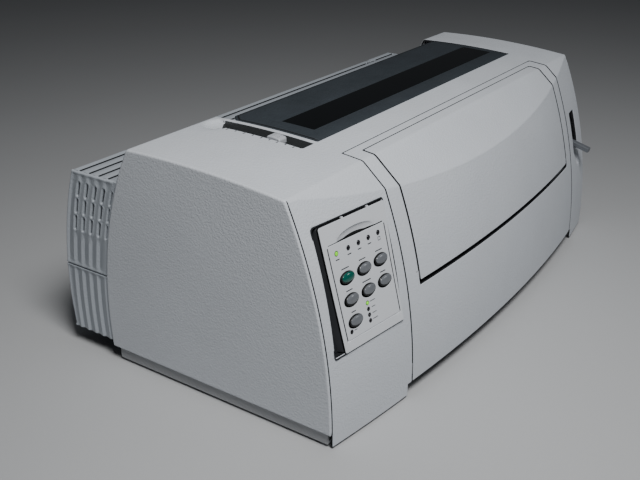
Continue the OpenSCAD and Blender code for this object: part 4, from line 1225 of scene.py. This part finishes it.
# the walls of the plate's edge, holes and slots are near-black below a thin lip (gap=2): painted shade in the gaps
B.add(skin(plate_out, holes, S_pan, 2.5, 0.30, 4.0, 1.5, pf, (), None, pan_disp, hstep=0.8, gap=2, lip=0.12))
po = rpoly(pl.tolist(), [1.4, 1.4, 1.4, 2.2], 5)
pi_ = inset(ccw(po), 2.6)
# the plate's side walls down in the recess are dark grey (material 4): painted shade inside the recess
B.add(tube(po, pi_, -9.95, -2.45, 0.15), 4, PAN)
# black backing under the slot of the scoop: a dark sheet as painted shade seen through the slot
B.add(prism(rect(-35.0, 38.5, 35.6, 40.6, 0.5, 3), -3.4, -2.75, 0.15), 2, PAN)
# the tray at the bottom of the recess and its bosses are in the near-black painted shade of the recess
tray = [(-47, -56), (42.4, -56), (42.4, 55.2), (-46.2, 55.2)]
B.add(prism(rpoly(tray, 1.0, 3), -12, -10.02, 0.3), 3, PAN)
for u in (-50, 44.3):
    for v in (-46, 46):
        B.add(prism(oval(u, v, 12, 8), -12, -10.02, 0.3), 3, PAN)
# small bridges that hold the plate in the gap at its top
for u in (-12.0, 20.5):
    B.add(prism(rect(u, u + 2.2, 54.2, 55.5, 0.2, 2), -2.4, -0.5, 0.2, 2), 0, PAN)
# black wells under the keys: real black sockets, shifted towards the lower left so their black also stands for the
# keys' painted shadow
for kx, ky in KEYS:
    B.add(tube(four_arc(kx + WELL_SHADOW_SHIFT[0], ky + WELL_SHADOW_SHIFT[1], 20.4, 13.8, 5.35, 12), four_arc(kx + WELL_SHADOW_SHIFT[0], ky + WELL_SHADOW_SHIFT[1], 18.5, 11.9, 4.4, 12), -2.9, -0.30, 0.1), 2, PAN)
    B.add(tube(four_arc(kx, ky, 18.4, 11.8, 4.4, 12), four_arc(kx, ky, 16.9, 10.5, 3.75, 12), -3.3, -2.6, 0.1), 2, PAN)
operator_panel = make("operator_panel", B, ["panel", "case_inner", "socket", "channel", "grey"], "base", ["operator_panel"], 38)
# generic marks on the plate: short bars under the lights and over the keys
B = Build()


def bar(u, v, L, h=0.95, tilt=0.0):
    B.add(prism(rect(u - L / 2, u + L / 2, v - h / 2, v + h / 2, 0.2, 2), -0.05, 0.06, 0.04, 1), 0, PAN)


for i, (kx, ky) in enumerate(LEDS[:5]):
    if i < 4:
        bar(kx, ky - 5.2, 4.6)
    else:
        B.add(tube(rect(kx - 1.7, kx + 1.7, ky - 6.8, ky - 3.4, 0.5, 3), rect(kx - 1.2, kx + 1.2, ky - 6.3, ky - 3.9, 0.3, 3), -0.05, 0.06, 0.03, 1), 0, PAN)
for i, (kx, ky) in enumerate(KEYS):
    bar(kx - 1.0, ky + 8.3, (9.5, 8.5, 9.0, 8.0, 11.0, 7.0, 5.5)[i])
for i, (kx, ky) in enumerate(LEDS[5:9]):
    bar(kx + 6.6, ky + 0.4, (7.0, 4.6, 5.4, 6.6)[i], 0.65)
bar(-19.6, -40.6, 3.6, 0.65)
panel_marks = make("panel_marks", B, ["ink"], "base", (), 40, wn=False)

KN = ["start", "line_feed", "form_feed", "tear_off", "load", "tractor", "font"]
for i, (kx, ky) in enumerate(KEYS):
    B = Build()
    B.add(prism(four_arc(kx, ky, 19.4, 13.2, 4.9), -5.2, -3.5, 0.3), 1, PAN)
    B.add(rod(-6.4, -5.0, 1.9, (kx, ky), 0.25, 20), 1, PAN)
    # dark body with a strongly domed cap
    R = []
    for ins, w in ((0.0, -3.6), (0.0, 0.55), (0.16, 0.85), (0.55, 1.05)):
        q = inset(ccw(four_arc(kx, ky, 16.5, 10.1, 3.6)), ins)
        R.append(np.column_stack([q, np.full(len(q), w)]))
    B.add(rings(R, True, True), 1, PAN)
    q0 = ccw(four_arc(0.15, 0.35, 15.0, 8.3, 2.9))
    R = [np.column_stack([q0 + (kx, ky), np.full(len(q0), 0.8)])]
    for t in np.linspace(0, 1, 12):
        f = math.cos(t * math.pi / 2 * 0.985)
        w = 0.95 + 1.42 * (1 - f ** 2.0) ** 0.5
        R.append(np.column_stack([q0 * f + (kx, ky), np.full(len(q0), w)]))
    B.add(rings(R, True, True), 0, PAN)
    name = "key_" + KN[i]
    make(name, B, ["key_green" if i == 0 else "key", "socket"], "key_" + KN[i], ["key_" + KN[i]], 50)

for on in (1, 0):
    B = Build()
    for i, (kx, ky) in enumerate(LEDS):
        if (i in LIT) != bool(on):
            continue
        r = 1.8 if i < 5 else 1.5
        pr = [(-8.4, r - 0.15), (-8.2, r), (-0.1, r)] + [(0.0 + 0.55 * math.sin(a), r * math.cos(a)) for a in np.linspace(0.15, 1.35, 6)]
        B.add(lathe(pr, 24, (kx, ky)), 0, PAN)
        B.add(tube(circ(kx, ky, r + 0.48, 24), circ(kx, ky, r + 0.06, 24), -1.2, -0.02, 0.1, 2), 1, PAN)
    make("lights_lit" if on else "lights_dark", B, ["led_on" if on else "led_off", "socket"], "base", ["leds_lit" if on else "leds_dark"], 40)

B = Build()
B.add(prism(rpoly([(-30, -51.5), (38.6, -51.5), (38.6, 49.5), (-34, 49.5)], 1.5, 3), -10, -8.5, 0.1), 0, PAN)
for (kx, ky) in KEYS:
    B.add(prism(rect(kx - 3, kx + 3, ky - 3, ky + 3, 0.4, 2), -8.6, -8.05, 0.1), 1, PAN)
for j in range(6):
    B.add(prism(rect(12 + j * 3.2, 13.8 + j * 3.2, -33, -30, 0.2, 2), -8.6, -7.6, 0.1), 1, PAN)
make("panel_board", B, ["board", "black"], "base", ["panel_board"], 40)

# ================================================================ levers, knob, switch, feet
B = Build()
B.add(lathe([(99.7, 7.6), (100.1, 8), (107.9, 8), (108.3, 7.6)], 40, (148, 112)), 0, AX)
B.add(prism(rpoly([(143.4, 113), (152.6, 113), (134.2, 223.5), (126.0, 223.5)], 0.8, 3), 101.7, 107.3, 0.7), 0, AX)
grip = rpoly([(122.3, 222.0), (137.9, 221.6), (137.9, 229.4), (131.0, 229.75), (122.3, 228.2)], [1.6, 1.6, 3.2, 6.0, 2.6], 7)
B.add(prism(grip, 97.9, 109.1, 1.5, 5), 0, AX)
for j in range(4):
    yy = 126.2 + j * 2.6
    B.add(prism(rect(99.6, 107.5, yy - 0.5, yy + 0.5, 0.4, 3), 228.4, 229.78 - 0.02 * j, 0.3, 2), 0)
thickness_lever = make("thickness_lever", B, ["lever"], "thickness_lever", ["thickness_lever"], 40)

B = Build()
B.add(lathe([(549.1, 7.6), (549.5, 8), (556.5, 8), (556.9, 7.6)], 40, (54, 134)), 0, AX)
_c, _s = math.cos(math.radians(15.7)), math.sin(math.radians(15.7))


def LV(V):
    V = np.asarray(V, float)
    y, z = V[:, 1].copy(), V[:, 2].copy()
    out = V.copy()
    out[:, 1] = 54 + y * _c - z * _s
    out[:, 2] = 134 + y * _s + z * _c
    return out


B.add(prism(rpoly([(549.2, -70), (556.8, -70), (556.8, -2), (549.2, -2)], [1.5, 1.5, 0.5, 0.5], 6), -2.75, 2.75, 0.6, 4), 0, LV)
B.add(prism(rect(550.8, 555.2, -66.5, -60.5, 1.0, 4), 2.4, 3.05, 0.25, 2), 0, LV)
select_lever = make("select_lever", B, ["lever_dark"], "select_lever", ["select_lever"], 40)

B = Build()
a = np.arange(180) * TAU / 180
kr = 18.35 - 0.75 * np.clip(np.cos(a * 18), 0, 1) ** 0.6
ko = np.stack([150 + kr * np.cos(a), 160 + kr * np.sin(a)], 1)
R = []
for ins, w in ((1.0, 568.1), (0.2, 568.5), (0.0, 569.3), (0.0, 598.6), (0.25, 599.8), (0.8, 600.6), (1.6, 600.95), (3.2, 601.0), (4.0, 600.6), (5.0, 599.6), (7.0, 599.2), (11.0, 599.1)):
    q = 18.35 - ins
    k2 = kr - ins if ins < 3 else np.full(len(a), 18.35 - ins)
    R.append(np.column_stack([150 + k2 * np.cos(a), 160 + k2 * np.sin(a), np.full(len(a), w)]))
B.add(rings(R), 0, AX)
B.add(lathe([(556, 6.2), (556.4, 6.6), (568.6, 6.6), (568.8, 6.2)], 32, P), 0, AX) if False else None
platen_knob = make("platen_knob", B, ["grey"], "platen", ["platen_knob"], 40)

B = Build()
rk = rpoly([(-3, -9.3), (3.1, -9.3), (2.4, 0), (3.1, 9.3), (-3, 9.3)], [0.8, 1.2, 6.0, 1.2, 0.8], 6)
_r = math.radians(-6)


def SW(V):
    V = np.asarray(V, float)
    out = V.copy()
    out[:, 0] = 586.5 + V[:, 0] * math.cos(_r) - V[:, 1] * math.sin(_r)
    out[:, 1] = 221 + V[:, 0] * math.sin(_r) + V[:, 1] * math.cos(_r)
    return out


B.add(prism(rk, 48.6, 57.2, 0.5, 3), 0, SW)
for z0 in (47.05, 57.0):
    B.add(tube(circ(0, 0, 3.0, 24), circ(0, 0, 1.56, 24), z0, z0 + 1.8, 0.2), 0, SW)
B.add(prism(rect(2.2, 3.0, 4.6, 6.0, 0.3, 2), 50.5, 55.3, 0.15, 2), 1, SW)
power_switch = make("power_switch", B, ["black", "lever"], "power_switch", ["power_switch"], 40)

B = Build()
for x in (22, 570):
    for y in (24, 236):
        B.add(lathe([(0.0, 6.6), (0.35, 7.6), (0.9, 8.3), (2.2, 8.9), (3.0, 9.0)], 40, (x, y)), 0)
feet = make("feet", B, ["rubber"], "base", ["feet"], 45)

# ================================================================ inner parts: the CAD shapes, with broken edges and their own finishes
INNER = {
    "base_pan": ("case_inner", 0.5), "left_side_frame": ("steel", 0.25), "right_side_frame": ("steel", 0.25), "platen": ("rubber", 0.5), "platen_shaft": ("shaft", 0.4),
    "platen_bearings": ("nylon", 0.3), "platen_gear": ("nylon", 0.15), "feed_motor": ("can", 0.6), "motor_pinion": ("brass", 0.12), "feed_idler_gear": ("nylon", 0.15),
    "tractor_idler_gear": ("nylon", 0.15), "tractor_gear": ("nylon", 0.15), "tractor_shaft": ("shaft", 0.4), "tractor_rod": ("shaft", 0.4), "left_tractor": ("grey", 0.5),
    "right_tractor": ("grey", 0.5), "left_tractor_flap": ("grey", 0.4), "right_tractor_flap": ("grey", 0.4), "carriage_shaft": ("shaft", 0.5), "carriage_rail": ("steel", 0.25),
    "carriage": ("black", 0.6), "print_head": ("alloy", 0.3), "ribbon_cartridge": ("black", 0.9), "ribbon_knob": ("blue", 0.5), "drive_belt": ("rubber", 0.2), "drive_pulley": ("brass", 0.25),
    "idler_pulley": ("nylon", 0.25), "carriage_motor": ("can", 0.6), "paper_guide": ("steel", 0.25), "pressure_rollers": ("rubber", 0.4), "power_supply": ("steel", 0.4),
    "main_board": ("board", 0.15), "power_inlet": ("black", 0.4), "data_connectors": ("steel", 0.3), "screws": ("steel", 0.3),
}
for name, (mat, w) in INNER.items():
    o = NODES[name]
    o.data.materials.clear()
    o.data.materials.append(MAT[mat])
    m = o.modifiers.new("weld", "WELD")
    m.merge_threshold = 0.00001
    m = o.modifiers.new("edges", "BEVEL")
    m.width = w / 1000
    m.segments = 2
    m.limit_method = "ANGLE"
    m.angle_limit = math.radians(32)
    m.harden_normals = True
    m.use_clamp_overlap = True

# ================================================================ floor, light, camera
me = bpy.data.meshes.new("floor")
Nf = 60
R0 = 9.0
vs, fs = [], []
g = np.linspace(-R0, R0, Nf + 1)
for yv in g:
    for xv in g:
        vs.append((xv, yv, 0.0))
for j in range(Nf):
    for i in range(Nf):
        k0 = j * (Nf + 1) + i
        fs.append((k0, k0 + 1, k0 + Nf + 2, k0 + Nf + 1))
me.from_pydata(vs, [], fs)
me.update()
me.shade_smooth()
floor = bpy.data.objects.new("floor", me)
bpy.context.scene.collection.objects.link(floor)
fm = plastic("floor_paper", (0.44, 0.45, 0.46), 0.70, 0.002, 0.05, 0.012, spec=0.2, wear=0.0, rvar=0.03, big=0.5)
me.materials.append(fm)

world = bpy.data.worlds.new("studio")
bpy.context.scene.world = world
world.use_nodes = True
bg = world.node_tree.nodes["Background"]
bg.inputs[0].default_value = (0.80, 0.84, 0.90, 1)
bg.inputs[1].default_value = 0.045


def area(name, loc, target, size, power, col=(1, 1, 1), size_y=None):
    L = bpy.data.lights.new(name, "AREA")
    L.shape = "RECTANGLE"
    L.size = size
    L.size_y = size_y or size
    L.energy = power
    L.color = col
    o = bpy.data.objects.new(name, L)
    bpy.context.scene.collection.objects.link(o)
    o.location = loc
    o.rotation_euler = (Vector(target) - Vector(loc)).to_track_quat("-Z", "Y").to_euler()
    return o


key = area("key_light", (-0.60, -0.62, 1.20), (-0.12, -0.05, 0.14), 0.45, 8.6, (1.0, 0.99, 0.98))
key.data.spread = math.radians(120)
area("top_light", (0.15, -0.15, 1.75), (0.05, 0.0, 0.15), 0.8, 1.2, (0.95, 0.97, 1.0))
area("right_light", (0.85, -1.60, 0.78), (-0.22, -0.12, 0.14), 0.35, 1.6, (0.93, 0.96, 1.0))

cam = bpy.data.cameras.new("camera")
cam.lens = 51.09
cam.sensor_width = 36.0
cam.clip_start = 0.05
cam.clip_end = 60.0
co = bpy.data.objects.new("camera", cam)
bpy.context.scene.collection.objects.link(co)
co.location = (-0.8199, -0.4967, 0.4868)
co.rotation_euler = (math.radians(65.27), math.radians(0.055), math.radians(-55.25))
bpy.context.scene.camera = co

bpy.context.view_layer.update()
